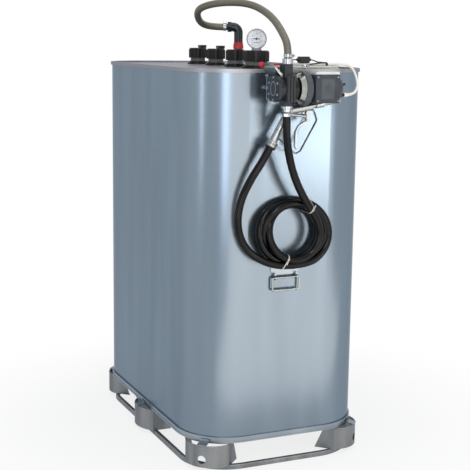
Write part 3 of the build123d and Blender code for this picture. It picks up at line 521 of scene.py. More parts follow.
@dataclass
class FinishBook:
    """All finishes, made once and looked up by name."""

    made: dict[str, bpy.types.Material] = field(default_factory=dict)

    def build(self) -> None:
        """Make every finish."""
        finishes = [
            ZincSheet("zinc_skin", "#768491", "#7E8D9A", 0.25),
            ZincSheet("zinc_fold", "#89949D", "#98A2AA", 0.3, streak_mm=140.0),
            ZincSheet("zinc_roof", "#8D8E92", "#949599", 0.4, streak_mm=400.0),
            ZincSheet("zinc_dull", "#74777A", "#8D9092", 0.42, metallic=0.85, streak_mm=45.0),
            ZincSheet("zinc_plate", "#8D9596", "#A6ADAB", 0.27, streak_mm=40.0),
            MouldedPlastic("tank_plastic", "#6C6D6C", "#595A59", 0.45, depth=0.05),
            MouldedPlastic("cap_black", "#111214", "#090A0B", 0.3),
            MouldedPlastic("elbow_black", "#161F2B", "#0D131B", 0.2, coat=0.1),
            MouldedPlastic("union_red", "#C81C2B", "#AB1220", 0.3, coat=0.2),
            MouldedPlastic("grip_red", "#B81E2C", "#98141F", 0.36),
            MouldedPlastic("gauge_ring", "#A79FB0", "#8F8898", 0.32, coat=0.2),
            MouldedPlastic("dial_white", "#E9EDF1", "#DFE4E9", 0.5, depth=0.0),
            MouldedPlastic("dial_ink", "#262E3A", "#1B222C", 0.5, depth=0.0),
            MouldedPlastic("dial_blue", "#7FA6C4", "#6D96B6", 0.5, depth=0.0),
            MouldedPlastic("pump_paint", "#1E242C", "#151A20", 0.34, grain_mm=2.4, coat=0.05),
            MouldedPlastic("pump_black", "#0D0F12", "#07080A", 0.38, grain_mm=2.4),
            MouldedPlastic("motor_paint", "#454C52", "#394046", 0.42, grain_mm=2.4),
            MouldedPlastic("box_plastic", "#343B43", "#2A3037", 0.42),
            MouldedPlastic("plate_grey", "#80868C", "#6B7178", 0.4, depth=0.0),
            MouldedPlastic("rail_white", "#C6CBCE", "#B2B8BC", 0.35),
            MouldedPlastic("lead_white", "#DADAD6", "#C9C9C3", 0.5, depth=0.04),
            MouldedPlastic("tie_white", "#B9B9B4", "#A2A29C", 0.4, depth=0.0),
            BrightMetal("chrome", "#A9ACB0", "#8E9297", 0.16),
            BrightMetal("bell_metal", "#A9ABA6", "#8F9189", 0.1, haze_mm=60.0),
            BrightMetal("nozzle_alloy", "#9DA0A2", "#868A8C", 0.24, haze_mm=25.0),
            BrightMetal("fastener_steel", "#9A9DA0", "#7C7F82", 0.3),
            BrightMetal("guard_steel", "#5E6264", "#484B4D", 0.3),
            BrightMetal("clamp_steel", "#7E8880", "#666F68", 0.3),
            HoseRubber(),
            BraidedSleeve(),
            ClearWindow(),
        ]
        for finish in finishes:
            self.made[finish.name] = finish.build()

    def dress(self, node: str, finish: str) -> None:
        """Give a construction node its finish.

        Args:
            node: Name of the node.
            finish: Name of the finish.
        """
        mesh = bpy.data.objects[node].data
        mesh.materials.clear()
        mesh.materials.append(self.made[finish])
        LOG.info("%s wears %s", node, finish)


def centre_of(node: str) -> Vector:
    """Middle of a node's box, in metres.

    Args:
        node: Name of the node.

    Returns:
        The middle point.
    """
    low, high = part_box(node)
    return (Vector(low) + Vector(high)) / 2


def from_front(front: float, points: tuple[Point, ...]) -> list[Point]:
    """Turn points in millimetres into metres, with their depth counted from the tank's front.

    Args:
        front: The front's place along Y, in metres.
        points: The points.

    Returns:
        The points in metres.
    """
    return [(x * MM, front + y * MM, z * MM) for x, y, z in points]


def link(name: str, data: bpy.types.ID) -> bpy.types.Object:
    """Put data in the scene as an object at the origin.

    Args:
        name: Name of the object.
        data: Its mesh, curve, camera or lamp.

    Returns:
        The object.
    """
    thing = bpy.data.objects.new(name, data)
    bpy.context.scene.collection.objects.link(thing)
    return thing


def attach(thing: bpy.types.Object, replaced: tuple[str, ...] = ()) -> None:
    """Let a piece ride on the tank, and hide the construction nodes that it stands in for.

    Args:
        thing: The piece.
        replaced: Construction nodes that the piece stands in for.
    """
    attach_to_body(thing, TANK_BODY)
    if replaced:
        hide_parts(*replaced)
    LOG.info("%s is on the tank", thing.name)


def dressed(name: str, mesh: bpy.types.Mesh, material: bpy.types.Material) -> bpy.types.Object:
    """Put a mesh in the scene with one finish.

    Args:
        name: Name of the object.
        mesh: Its mesh, in place.
        material: Its finish.

    Returns:
        The object.
    """
    mesh.materials.clear()
    mesh.materials.append(material)
    return link(name, mesh)


def settled(name: str, shape: bmesh.types.BMesh) -> bpy.types.Mesh:
    """Turn a working shape into a mesh.

    Args:
        name: Name of the mesh.
        shape: The working shape, which is used up.

    Returns:
        The mesh.
    """
    mesh = bpy.data.meshes.new(name)
    shape.to_mesh(mesh)
    shape.free()
    return mesh


@dataclass(frozen=True)
class Route:
    """A smooth line through the air, as a NURBS spline on given points."""

    name: str
    points: list[Point]
    resolution: int = 12

    def curve(self, radius: float) -> bpy.types.Object:
        """Make the spline as a curve object.

        Args:
            radius: Half the cord's thickness, or nought for a bare line.

        Returns:
            The curve object, linked to the scene.
        """
        data = bpy.data.curves.new(self.name, "CURVE")
        data.dimensions = "3D"
        data.resolution_u = self.resolution
        data.bevel_depth = radius
        data.bevel_resolution = 8
        data.use_fill_caps = radius > 0
        spline = data.splines.new("NURBS")
        spline.points.add(len(self.points) - 1)
        for slot, place in zip(spline.points, self.points):
            slot.co = (*place, 1.0)
        spline.order_u = 3
        spline.use_endpoint_u = True
        return link(self.name, data)

    def sampled(self) -> list[Vector]:
        """Read points along the spline.

        Returns:
            Points in order, in metres.
        """
        bare = self.curve(0.0)
        bpy.context.view_layer.update()
        mesh = bpy.data.meshes.new_from_object(bare)
        places = [vertex.co.copy() for vertex in mesh.vertices]
        bpy.data.objects.remove(bare)
        bpy.data.meshes.remove(mesh)
        return places


def line_length(places: list[Vector]) -> float:
    """Length of a line through points.

    Args:
        places: The points.

    Returns:
        The summed length.
    """
    return sum((after - before).length for before, after in zip(places, places[1:]))


def evenly(places: list[Vector], step: float) -> list[Vector]:
    """Points a fixed distance apart along a line.

    Args:
        places: The line's own points.
        step: Distance along the line, in metres.

    Returns:
        The new points, with the line's two ends.
    """
    count = max(2, round(line_length(places) / step))
    gap = line_length(places) / count
    found = [places[0].copy()]
    travelled = 0.0
    for before, after in zip(places, places[1:]):
        run = (after - before).length
        while run > 0 and travelled + run >= gap * len(found) and len(found) < count:
            share = (gap * len(found) - travelled) / run
            found.append(before.lerp(after, share))
        travelled += run
    found.append(places[-1].copy())
    return found


def tube_mesh(name: str, places: list[Vector], radii: list[float], sides: int = 24) -> bpy.types.Mesh:
    """Round tube along points, with a UV map of turn share and metres along.

    Args:
        name: Name of the mesh.
        places: Centre points.
        radii: The tube's radius at each point.
        sides: Corners round the tube.

    Returns:
        The closed mesh.
    """
    shape = bmesh.new()
    layer = shape.loops.layers.uv.new("along")
    heading = (places[1] - places[0]).normalized()
    across = heading.orthogonal().normalized()
    rings = []
    lengths = []
    travelled = 0.0
    for index, place in enumerate(places):
        before = places[max(index - 1, 0)]
        after = places[min(index + 1, len(places) - 1)]
        heading = (after - before).normalized()
        across = (across - heading * across.dot(heading)).normalized()
        side = heading.cross(across)
        ring = []
        for corner in range(sides):
            turn = math.tau * corner / sides
            spoke = across * math.cos(turn) + side * math.sin(turn)
            ring.append(shape.verts.new(place + spoke * radii[index]))
        rings.append(ring)
        if index:
            travelled += (place - places[index - 1]).length
        lengths.append(travelled)
    for index in range(len(rings) - 1):
        for corner in range(sides):
            after = (corner + 1) % sides
            face = shape.faces.new(
                (rings[index][corner], rings[index][after], rings[index + 1][after], rings[index + 1][corner])
            )
            face.smooth = True
            shares = (corner / sides, (corner + 1) / sides)
            marks = (
                (shares[0], lengths[index]),
                (shares[1], lengths[index]),
                (shares[1], lengths[index + 1]),
                (shares[0], lengths[index + 1]),
            )
            for loop, mark in zip(face.loops, marks):
                loop[layer].uv = mark
    shape.faces.new(list(reversed(rings[0])))
    shape.faces.new(rings[-1])
    return settled(name, shape)


def block_mesh(
    name: str, low: Vector, high: Vector, bevel: float, turn: Matrix | None = None
) -> bpy.types.Mesh:
    """Box with rounded edges.

    Args:
        name: Name of the mesh.
        low: Lowest corner.
        high: Highest corner.
        bevel: Radius of the edges, or nought.
        turn: Placement laid on the finished box.

    Returns:
        The closed mesh.
    """
    shape = bmesh.new()
    bmesh.ops.create_cube(shape, size=1.0)
    size = high - low
    for corner in shape.verts:
        corner.co = low + Vector((share + 0.5) * span for share, span in zip(corner.co, size))
    if bevel:
        bmesh.ops.bevel(
            shape, geom=list(shape.edges), offset=bevel, segments=3, profile=0.5, affect="EDGES"
        )
    if turn is not None:
        shape.transform(turn)
    return settled(name, shape)


def turned_mesh(
    name: str, outline: tuple[Pair, ...], place: Vector, axis: Vector, steps: int = 48
) -> bpy.types.Mesh:
    """Solid of revolution.

    Args:
        name: Name of the mesh.
        outline: Points of the section in millimetres, as radius and distance along the axis,
            closed by the last one.
        place: Start of the axis, in metres.
        axis: Direction of the axis.
        steps: Facets round it.

    Returns:
        The closed mesh.
    """
    shape = bmesh.new()
    rings = []
    for radius, along in outline:
        if radius <= 0:
            rings.append([shape.verts.new((0.0, 0.0, along * MM))])
            continue
        ring = []
        for step in range(steps):
            turn = math.tau * step / steps
            ring.append(
                shape.verts.new((radius * MM * math.cos(turn), radius * MM * math.sin(turn), along * MM))
            )
        rings.append(ring)
    for before, after in zip(rings, rings[1:] + rings[:1]):
        if len(before) == 1 and len(after) == 1:
            continue
        for step in range(steps):
            ahead = (step + 1) % steps
            corners = [
                before[step % len(before)],
                before[ahead % len(before)],
                after[ahead % len(after)],
                after[step % len(after)],
            ]
            face = shape.faces.new(list(dict.fromkeys(corners)))
            face.smooth = len(before) > 1 and len(after) > 1
    bmesh.ops.recalc_face_normals(shape, faces=list(shape.faces))
    shape.transform(Matrix.Translation(place) @ axis.to_track_quat("Z", "Y").to_matrix().to_4x4())
    mesh = settled(name, shape)
    mesh.set_sharp_from_angle(angle=math.radians(30))
    return mesh


def joined(name: str, meshes: list[bpy.types.Mesh]) -> bpy.types.Mesh:
    """Put several meshes into one.

    Args:
        name: Name of the new mesh.
        meshes: The parts, which are used up.

    Returns:
        The joined mesh.
    """
    shape = bmesh.new()
    for mesh in meshes:
        shape.from_mesh(mesh)
        bpy.data.meshes.remove(mesh)
    return settled(name, shape)


def islands(node: str) -> list[tuple[Vector, Vector]]:
    """Boxes of the separate solids of a node.

    Args:
        node: Name of the node.

    Returns:
        Lowest and highest corner of each, in order of height.
    """
    shape = bmesh.new()
    shape.from_mesh(bpy.data.objects[node].data)
    bmesh.ops.remove_doubles(shape, verts=list(shape.verts), dist=0.05 * MM)
    left = set(shape.verts)
    found = []
    while left:
        seed = left.pop()
        group, queue = [seed], [seed]
        while queue:
            for edge in queue.pop().link_edges:
                for corner in edge.verts:
                    if corner in left:
                        left.discard(corner)
                        group.append(corner)
                        queue.append(corner)
        axes = list(zip(*(corner.co for corner in group)))
        found.append((Vector(min(axis) for axis in axes), Vector(max(axis) for axis in axes)))
    shape.free()
    return sorted(found, key=lambda pair: pair[0].z)


@dataclass(frozen=True)
class Cord:
    """A flexible line of one thickness. Its finish and its material slot share a name."""

    name: str
    points: list[Point]
    diameter: float
    finish: str
    far_end: FarEnd
    lay: Lay
    stiffness: Stiffness = Stiffness.MEDIUM
    replaced: tuple[str, ...] = ()

    def build(self, book: FinishBook, pieces: tuple[bpy.types.Object, ...]) -> None:
        """Args:
            book: The finishes.
            pieces: Fittings that belong to it. Not used.
        """
        route = Route(self.name, self.points)
        length = line_length(route.sampled())
        cord = route.curve(self.diameter / 2)
        cord.data.materials.append(book.made[self.finish])
        attach(cord, self.replaced)
        LOG.info("%s is %.3f m long", self.name, length)


@dataclass
class Hoses:
    """The suction hose over the roof and the delivery hose with its coil and ties."""

    book: FinishBook
    front: float
    pump: Vector
    delivery_d: float = 30 * MM
    suction_d: float = 28 * MM
    suction_step: float = 4 * MM
    coil_x: float = -1 * MM
    coil_z: float = 955 * MM
    turns: float = 3.5
    inner: Pair = (95 * MM, 101 * MM)
    outer: Pair = (160 * MM, 130 * MM)
    depths: tuple[float, ...] = (-79, -74, -24, -24, -50, -50, -24, -70)
    points_a_turn: int = 16
    first_point: int = 2
    straight_out: float = 60 * MM
    swivel_half: float = 13 * MM
    swivel_run: float = 62 * MM
    tie_angles: tuple[float, ...] = (59.0, 247.0)
    tie_w: float = 4.5 * MM
    tie_t: float = 1.2 * MM
    tie_lift: float = 0.6
    tie_zone: float = 1.4
    tie_steps: int = 36
    lock_low: Point = (-3.8, -4.5, -4.0)
    lock_high: Point = (3.8, 0.0, 4.0)
    lock_bevel: float = 0.8 * MM
    tail_low: Point = (-2.2, -4.2, 3.0)
    tail_high: Point = (2.2, -3.0, 22.0)
    tail_bevel: float = 0.3 * MM
    drop_shape: tuple[Point, ...] = (
        (-56, -90, 1280),
        (-32, -84, 1200),
        (2, -81, 1125),
    )
    return_shape: tuple[Point, ...] = (
        (-52, -62, 829),
        (-128, -52, 848),
        (-206, -52, 898),
        (-246, -52, 985),
        (-236, -52, 1085),
        (-190, -52, 1172),
    )
    suction_shape: tuple[Point, ...] = (
        (-29, 15.7, 1737),
        (-81.1, 38.9, 1735),
        (-152, 25.7, 1749),
        (-215, -86.3, 1803),
        (-178, -169.3, 1827),
        (-103, -229.3, 1833),
        (-60, -299, 1822),
        (-48, -389, 1794),
        (-52, -479, 1761),
        (-60, -562, 1715),
        (-67, -624, 1669),
        (-67, -624, 1622),
    )

    def coil_points(self) -> list[Point]:
        """Points of the loose turns, from the top inside to the bottom outside.

        Returns:
            Control points in metres.
        """
        points = []
        for step in range(self.first_point, round(self.turns * self.points_a_turn)):
            turns = step / self.points_a_turn
            grown = turns / self.turns
            half = min(int(turns * 2), len(self.depths) - 2)
            ease = (1 - math.cos(math.pi * (turns * 2 - half))) / 2
            depth = (self.depths[half] + (self.depths[half + 1] - self.depths[half]) * ease) * MM
            reach_x = self.inner[0] + (self.outer[0] - self.inner[0]) * grown
            reach_z = self.inner[1] + (self.outer[1] - self.inner[1]) * grown
            angle = math.tau * turns
            points.append(
                (
                    self.coil_x + reach_x * math.sin(angle),
                    self.front + depth,
                    self.coil_z + reach_z * math.cos(angle),
                )
            )
        return points

    def delivery_points(self) -> list[Point]:
        """Points of the delivery hose, from the pump's outlet to the nozzle's swivel.

        Returns:
            Control points in metres.
        """
        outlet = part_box("outlet_fitting")[0][2]
        x, y = self.pump.x, self.pump.y
        end = centre_of("nozzle_swivel") - SWIVEL_LEAN * self.swivel_half
        before = end - SWIVEL_LEAN * self.swivel_run
        start = [(x, y, outlet), (x, y, outlet - self.straight_out)]
        drop = start + from_front(self.front, self.drop_shape)
        back = [*from_front(self.front, self.return_shape), tuple(before), tuple(end)]
        return drop + self.coil_points() + back

    def tie_line(self, centre: Vector, out: Vector, side: Vector, places: list[Vector]) -> list[Vector]:
        """Tight line round every turn of hose that crosses a tie's plane.

        Args:
            centre: Middle of the coil.
            out: Direction from the middle to the tie.
            side: Direction square to the tie's plane.
            places: Points along the hose.

        Returns:
            The line's corners in order.
        """
        reach = self.delivery_d / 2 + self.tie_t * self.tie_lift
        spots = []
        for before, after in zip(places, places[1:]):
            start, stop = (before - centre).dot(side), (after - centre).dot(side)
            near = abs(before.z - self.coil_z) < self.outer[1] * self.tie_zone
            if start * stop > 0 or start == stop or not near:
                continue
            spot = before.lerp(after, start / (start - stop))
            far = (spot - centre).dot(out)
            if far <= 0:
                continue
            for step in range(self.tie_steps):
                turn = math.tau * step / self.tie_steps
                spots.append((far + reach * math.cos(turn), spot.y + reach * math.sin(turn)))
        return [centre + out * far + Vector((0.0, depth, 0.0)) for far, depth in hull(spots)]

    def tie(self, number: int, angle: float, places: list[Vector]) -> bpy.types.Object:
        """One cable tie pulled round all turns of the coil at an angle.

        Args:
            number: Which tie it is.
            angle: Its angle in the coil's plane, in degrees from +X.
            places: Points along the hose.

        Returns:
            The tie's object.
        """
        centre = Vector((self.coil_x, 0.0, self.coil_z))
        out = Vector((math.cos(math.radians(angle)), 0.0, math.sin(math.radians(angle))))
        side = out.cross(Vector((0.0, 1.0, 0.0)))
        middle = self.tie_line(centre, out, side, places)
        heart = sum(middle, Vector()) / len(middle)
        shape = bmesh.new()
        rings = []
        for spot in middle:
            away = (spot - heart).normalized() * self.tie_t
            rings.append(
                [
                    shape.verts.new(spot + side * (share * self.tie_w / 2) + away * lift)
                    for share, lift in ((-1, 0), (1, 0), (1, 1), (-1, 1))
                ]
            )
        for before, after in zip(rings, rings[1:] + rings[:1]):
            for corner in range(4):
                ahead = (corner + 1) % 4
                shape.faces.new((before[corner], before[ahead], after[ahead], after[corner]))
        bmesh.ops.recalc_face_normals(shape, faces=list(shape.faces))
        front = min(middle, key=lambda spot: spot.y)
        basis = Matrix((side, Vector((0.0, 1.0, 0.0)), out)).transposed().to_4x4()
        place = Matrix.Translation(front) @ basis
        pieces = [settled("tie_band", shape)]
        for name, low, high, bevel in (
            ("tie_lock", self.lock_low, self.lock_high, self.lock_bevel),
            ("tie_tail", self.tail_low, self.tail_high, self.tail_bevel),
        ):
            pieces.append(block_mesh(name, Vector(low) * MM, Vector(high) * MM, bevel, place))
        title = f"coil_tie_{number}"
        thing = dressed(title, joined(title, pieces), self.book.made["tie_white"])
        attach(thing, ("hose_ties",))
        return thing

    def delivery(self) -> None:
        """Lay the delivery hose and pull the ties round its coil."""
        cord = Cord(
            "delivery_hose",
            self.delivery_points(),
            self.delivery_d,
            "hose_rubber",
            FarEnd.OBJECT,
            Lay.COILED,
            replaced=("hose_drop", "hose_coil", "hose_return"),
        )
        places = Route("delivery_line", cord.points).sampled()
        ties = [self.tie(number, angle, places) for number, angle in enumerate(self.tie_angles)]
        cord.build(self.book, tuple(ties))

    def suction(self) -> None:
        """Lay the braided suction hose as a tube with its weave's map."""
        points = from_front(0.0, self.suction_shape)
        places = evenly(Route("suction_line", points).sampled(), self.suction_step)
        mesh = tube_mesh("suction_hose_braid", places, [self.suction_d / 2] * len(places))
        hose = dressed("suction_hose_braid", mesh, self.book.made["braided_sleeve"])
        attach(hose, ("suction_hose",))

    def build(self) -> None:
        """Lay both hoses."""
        self.delivery()
        self.suction()


def hull(spots: list[tuple[float, float]]) -> list[tuple[float, float]]:
    """Tight line round points in a plane.

    Args:
        spots: The points.

    Returns:
        The corners, anticlockwise.
    """
    ordered = sorted(set(spots))
    halves = []
    for run in (ordered, ordered[::-1]):
        line: list[tuple[float, float]] = []
        for spot in run:
            while len(line) > 1:
                (ax, ay), (bx, by) = line[-2], line[-1]
                if (bx - ax) * (spot[1] - ay) - (by - ay) * (spot[0] - ax) > 0:
                    break
                line.pop()
            line.append(spot)
        halves.append(line[:-1])
    return halves[0] + halves[1]


@dataclass
class PowerLead:
    """The pump's lead: out of the gland, wound flat on the roof, with fuse, wires and eyelet."""

    book: FinishBook
    front: float
    lead_d: float = 10 * MM
    wire_d: float = 4.5 * MM
    ring_x: float = 119 * MM
    ring_in: float = 50 * MM
    straight: float = 76 * MM
    bend: float = 30.5 * MM
    top: float = 1597.3 * MM
    turns: int = 2
    points_a_turn: int = 20
    flat_share: float = 0.45
    start_x: float = 160 * MM
    band_x: float = 158 * MM
    band_line: tuple[Pair, ...] = ((5.0, -5), (6.2, -5), (6.2, 5), (5.0, 5))
    relief_step_mm: float = 2.0
    relief: tuple[Pair, ...] = (
        (0, 8.2),
        (6, 8.2),
        (8, 6.6),
        (12, 7.4),
        (14, 6.2),
        (18, 6.9),
        (20, 5.9),
        (24, 6.4),
        (26, 5.6),
        (30, 5.5),
    )
    knob_r_mm: float = 11.0
    knob_steps: int = 10
    knob_at: Point = (-128, 3, 1596)
    eyelet_at: Point = (60, 12, 1589)
    eyelet_axis: Point = (0.0, 1.0, 0.12)
    eyelet_line: tuple[Pair, ...] = ((4.2, -0.8), (8.0, -0.8), (8.0, 0.8), (4.2, 0.8))
    barrel_from: Point = (6.5, 0, 2)
    barrel_to: Point = (22, 1.5, 8)
    barrel_line: tuple[Pair, ...] = ((0, 0), (2.4, 0), (3.0, 1), (3.0, 15), (2.6, 16), (0, 16))
    approach: tuple[Point, ...] = (
        (174, -95, 1485),
        (214, -95, 1485),
        (243, -83, 1512),
        (251, -57, 1548),
        (250, -27, 1585),
        (232, -1, 1598),
        (200, 15, 1598.5),
    )
    tuck: tuple[Point, ...] = (
        (80, 29.5, 1577.3),
        (50, 29.5, 1577.3),
        (34, 33, 1577.3),
        (24, 43, 1577.3),
        (24, 57, 1577.3),
        (34, 67, 1577.3),
        (50, 70.5, 1577.3),
        (80, 68, 1577.3),
        (112, 60, 1577.3),
        (128, 55, 1577.3),
    )
    fuse_in_shape: tuple[Point, ...] = (
        (128, 55, 1577.3),
        (142, 50, 1578),
        (156, 42, 1583),
        (160, 31, 1594),
        (152, 22, 1603.6),
        (135, 19.5, 1604.9),
        (118, 19.5, 1605.6),
        (103, 19.5, 1612),
        (90, 19.5, 1614.6),
    )
    fuse_out_shape: tuple[Point, ...] = (
        (28, 19.5, 1614.6),
        (15, 19.5, 1614.6),
        (2, 16, 1611),
        (-14, 8, 1603),
        (-28, 4, 1598),
        (-44, 4, 1596.8),
    )
    eyelet_shape: tuple[Point, ...] = (
        (128, 53, 1579),
        (144, 47, 1580),
        (162, 38, 1588),
        (166, 27, 1600),
        (156, 15, 1604.4),
        (138, 11.5, 1603.5),
        (112, 11, 1601.2),
        (90, 12.6, 1598),
        (80, 13.2, 1596.4),
    )

    def ring_point(self, share: float, height: float) -> Point:
        """A point on the flat ring's middle line.

        Args:
            share: Part of the way round, from the near run's start towards -X.
            height: Height of the point.

        Returns:
            The point in metres.
        """
        arc = math.pi * self.bend
        whole = 4 * self.straight + 2 * arc
        middle = self.front + self.ring_in
        run = (share * whole + (self.ring_x + self.straight - self.start_x)) % whole
        if run < 2 * self.straight:
            return (self.ring_x + self.straight - run, middle - self.bend, height)
        run -= 2 * self.straight
        if run < arc:
            turn = run / self.bend
            x = self.ring_x - self.straight - self.bend * math.sin(turn)
            return (x, middle - self.bend * math.cos(turn), height)
        run -= arc
        if run < 2 * self.straight:
            return (self.ring_x - self.straight + run, middle + self.bend, height)
        turn = (run - 2 * self.straight) / self.bend
        x = self.ring_x + self.straight + self.bend * math.sin(turn)
        return (x, middle + self.bend * math.cos(turn), height)

    def lead_points(self) -> list[Point]:
        """Points of the lead, from the gland to its cut end inside the ring.

        Returns:
            Control points in metres.
        """
        points = from_front(self.front, self.approach)
        for step in range(self.turns * self.points_a_turn + 1):
            whole, share = divmod(step / self.points_a_turn, 1.0)
            fall = max(0.0, (share - self.flat_share) / (1 - self.flat_share))
            eased = fall * fall * (3 - 2 * fall)
            points.append(self.ring_point(share, self.top - self.lead_d * (whole + eased)))
        return points + from_front(self.front, self.tuck)

    def strain_relief(self, places: list[Vector]) -> bpy.types.Object:
        """Ribbed strain relief over the lead's start.

        Args:
            places: Points along the lead.

        Returns:
            The strain relief's object.
        """
        spots = evenly(places, self.relief_step_mm * MM)
        reach = round(self.relief[-1][0] / self.relief_step_mm)
        radii = []
        for index in range(reach + 1):
            along = index * self.relief_step_mm
            before = max((pair for pair in self.relief if pair[0] <= along), key=lambda pair: pair[0])
            after = min((pair for pair in self.relief if pair[0] >= along), key=lambda pair: pair[0])
            share = 0.0 if after[0] == before[0] else (along - before[0]) / (after[0] - before[0])
            radii.append((before[1] + (after[1] - before[1]) * share) * MM)
        mesh = tube_mesh("lead_relief", spots[: reach + 1], radii)
        thing = dressed("lead_relief", mesh, self.book.made["lead_white"])
        attach(thing)
        return thing

    def band(self) -> bpy.types.Object:
        """Black band round the ring's near run.

        Returns:
            The band's object.
        """
        place = Vector((self.band_x, self.front + self.ring_in - self.bend, self.top))
        mesh = turned_mesh("lead_band", self.band_line, place, Vector((1.0, 0.0, 0.0)))
        thing = dressed("lead_band", mesh, self.book.made["cap_black"])
        attach(thing)
        return thing

    def eyelet(self) -> bpy.types.Object:
        """Crimped ring terminal leaning on the ring's near run.

        Returns:
            The terminal's object.
        """
        heart = Vector(from_front(self.front, (self.eyelet_at,))[0])
        ring = turned_mesh("eyelet_ring", self.eyelet_line, heart, Vector(self.eyelet_axis).normalized())
        barrel = turned_mesh(
            "eyelet_barrel",
            self.barrel_line,
            heart + Vector(self.barrel_from) * MM,
            Vector(self.barrel_to).normalized(),
        )
        thing = dressed("eyelet", joined("eyelet", [ring, barrel]), self.book.made["chrome"])
        attach(thing)
        return thing

    def knob(self) -> None:
        """Round red end of the battery clamp's grip."""
        turns = [math.pi * step / self.knob_steps for step in range(self.knob_steps + 1)]
        outline = tuple((self.knob_r_mm * math.sin(turn), -self.knob_r_mm * math.cos(turn)) for turn in turns)
        place = Vector(from_front(self.front, (self.knob_at,))[0])
        mesh = turned_mesh("clamp_knob", outline, place, Vector((1.0, 0.0, 0.0)))
        attach(dressed("clamp_knob", mesh, self.book.made["grip_red"]))

    def build(self) -> None:
        """Lay the lead and its wires."""
        lead = Cord(
            "power_lead",
            self.lead_points(),
            self.lead_d,
            "lead_white",
            FarEnd.OBJECT,
            Lay.COILED,
            replaced=("lead_cable", "lead_hank"),
        )
        relief = self.strain_relief(Route("lead_line", lead.points).sampled())
        lead.build(self.book, (relief, self.band()))
        self.knob()
        nodes = bpy.data.objects
        for name, shape, pieces, replaced in (
            ("fuse_wire_in", self.fuse_in_shape, (nodes["fuse_holder"],), ("fuse_wires",)),
            ("fuse_wire_out", self.fuse_out_shape, (nodes["clamp_jaws"], nodes["clamp_grips"]), ()),
            ("eyelet_wire", self.eyelet_shape, (self.eyelet(),), ()),
        ):
            wire = Cord(
                name,
                from_front(self.front, shape),
                self.wire_d,
                "cap_black",
                FarEnd.CONNECTOR,
                Lay.LOOSE,
                Stiffness.LIMP,
                replaced,
            )
            wire.build(self.book, pieces)


def start_tree(name: str, inputs: dict[str, str]) -> tuple[bpy.types.NodeTree, bpy.types.NodeOutputs]:
    """Start a Geometry Nodes tree with named inputs.

    Args:
        name: Name of the tree.
        inputs: Name and kind of each input beside the geometry.

    Returns:
        The tree, and the sockets that its inputs come out of.
    """
    tree = bpy.data.node_groups.new(name, "GeometryNodeTree")
    tree.interface.new_socket("Geometry", in_out="INPUT", socket_type="NodeSocketGeometry")
    for title, kind in inputs.items():
        tree.interface.new_socket(title, in_out="INPUT", socket_type=f"NodeSocket{kind}")
    tree.interface.new_socket("Geometry", in_out="OUTPUT", socket_type="NodeSocketGeometry")
    return tree, add_node(tree, "NodeGroupInput").outputs


def run_tree(tree: bpy.types.NodeTree, base: bpy.types.Mesh, values: dict[str, float]) -> bpy.types.Mesh:
    """Run a Geometry Nodes tree and keep its result as a plain mesh.

    Args:
        tree: The tree.
        base: The mesh that it starts from.
        values: Value of each named input.

    Returns:
        The plain mesh.
    """
    holder = link(base.name, base)
    modifier = holder.modifiers.new(tree.name, "NODES")
    modifier.node_group = tree
    for item in tree.interface.items_tree:
        if item.in_out == "INPUT" and item.name in values:
            modifier[item.identifier] = values[item.name]
    bpy.context.view_layer.update()
    graph = bpy.context.evaluated_depsgraph_get()
    mesh = bpy.data.meshes.new_from_object(holder.evaluated_get(graph), depsgraph=graph)
    holder.modifiers.remove(modifier)
    bpy.data.objects.remove(holder)
    return mesh


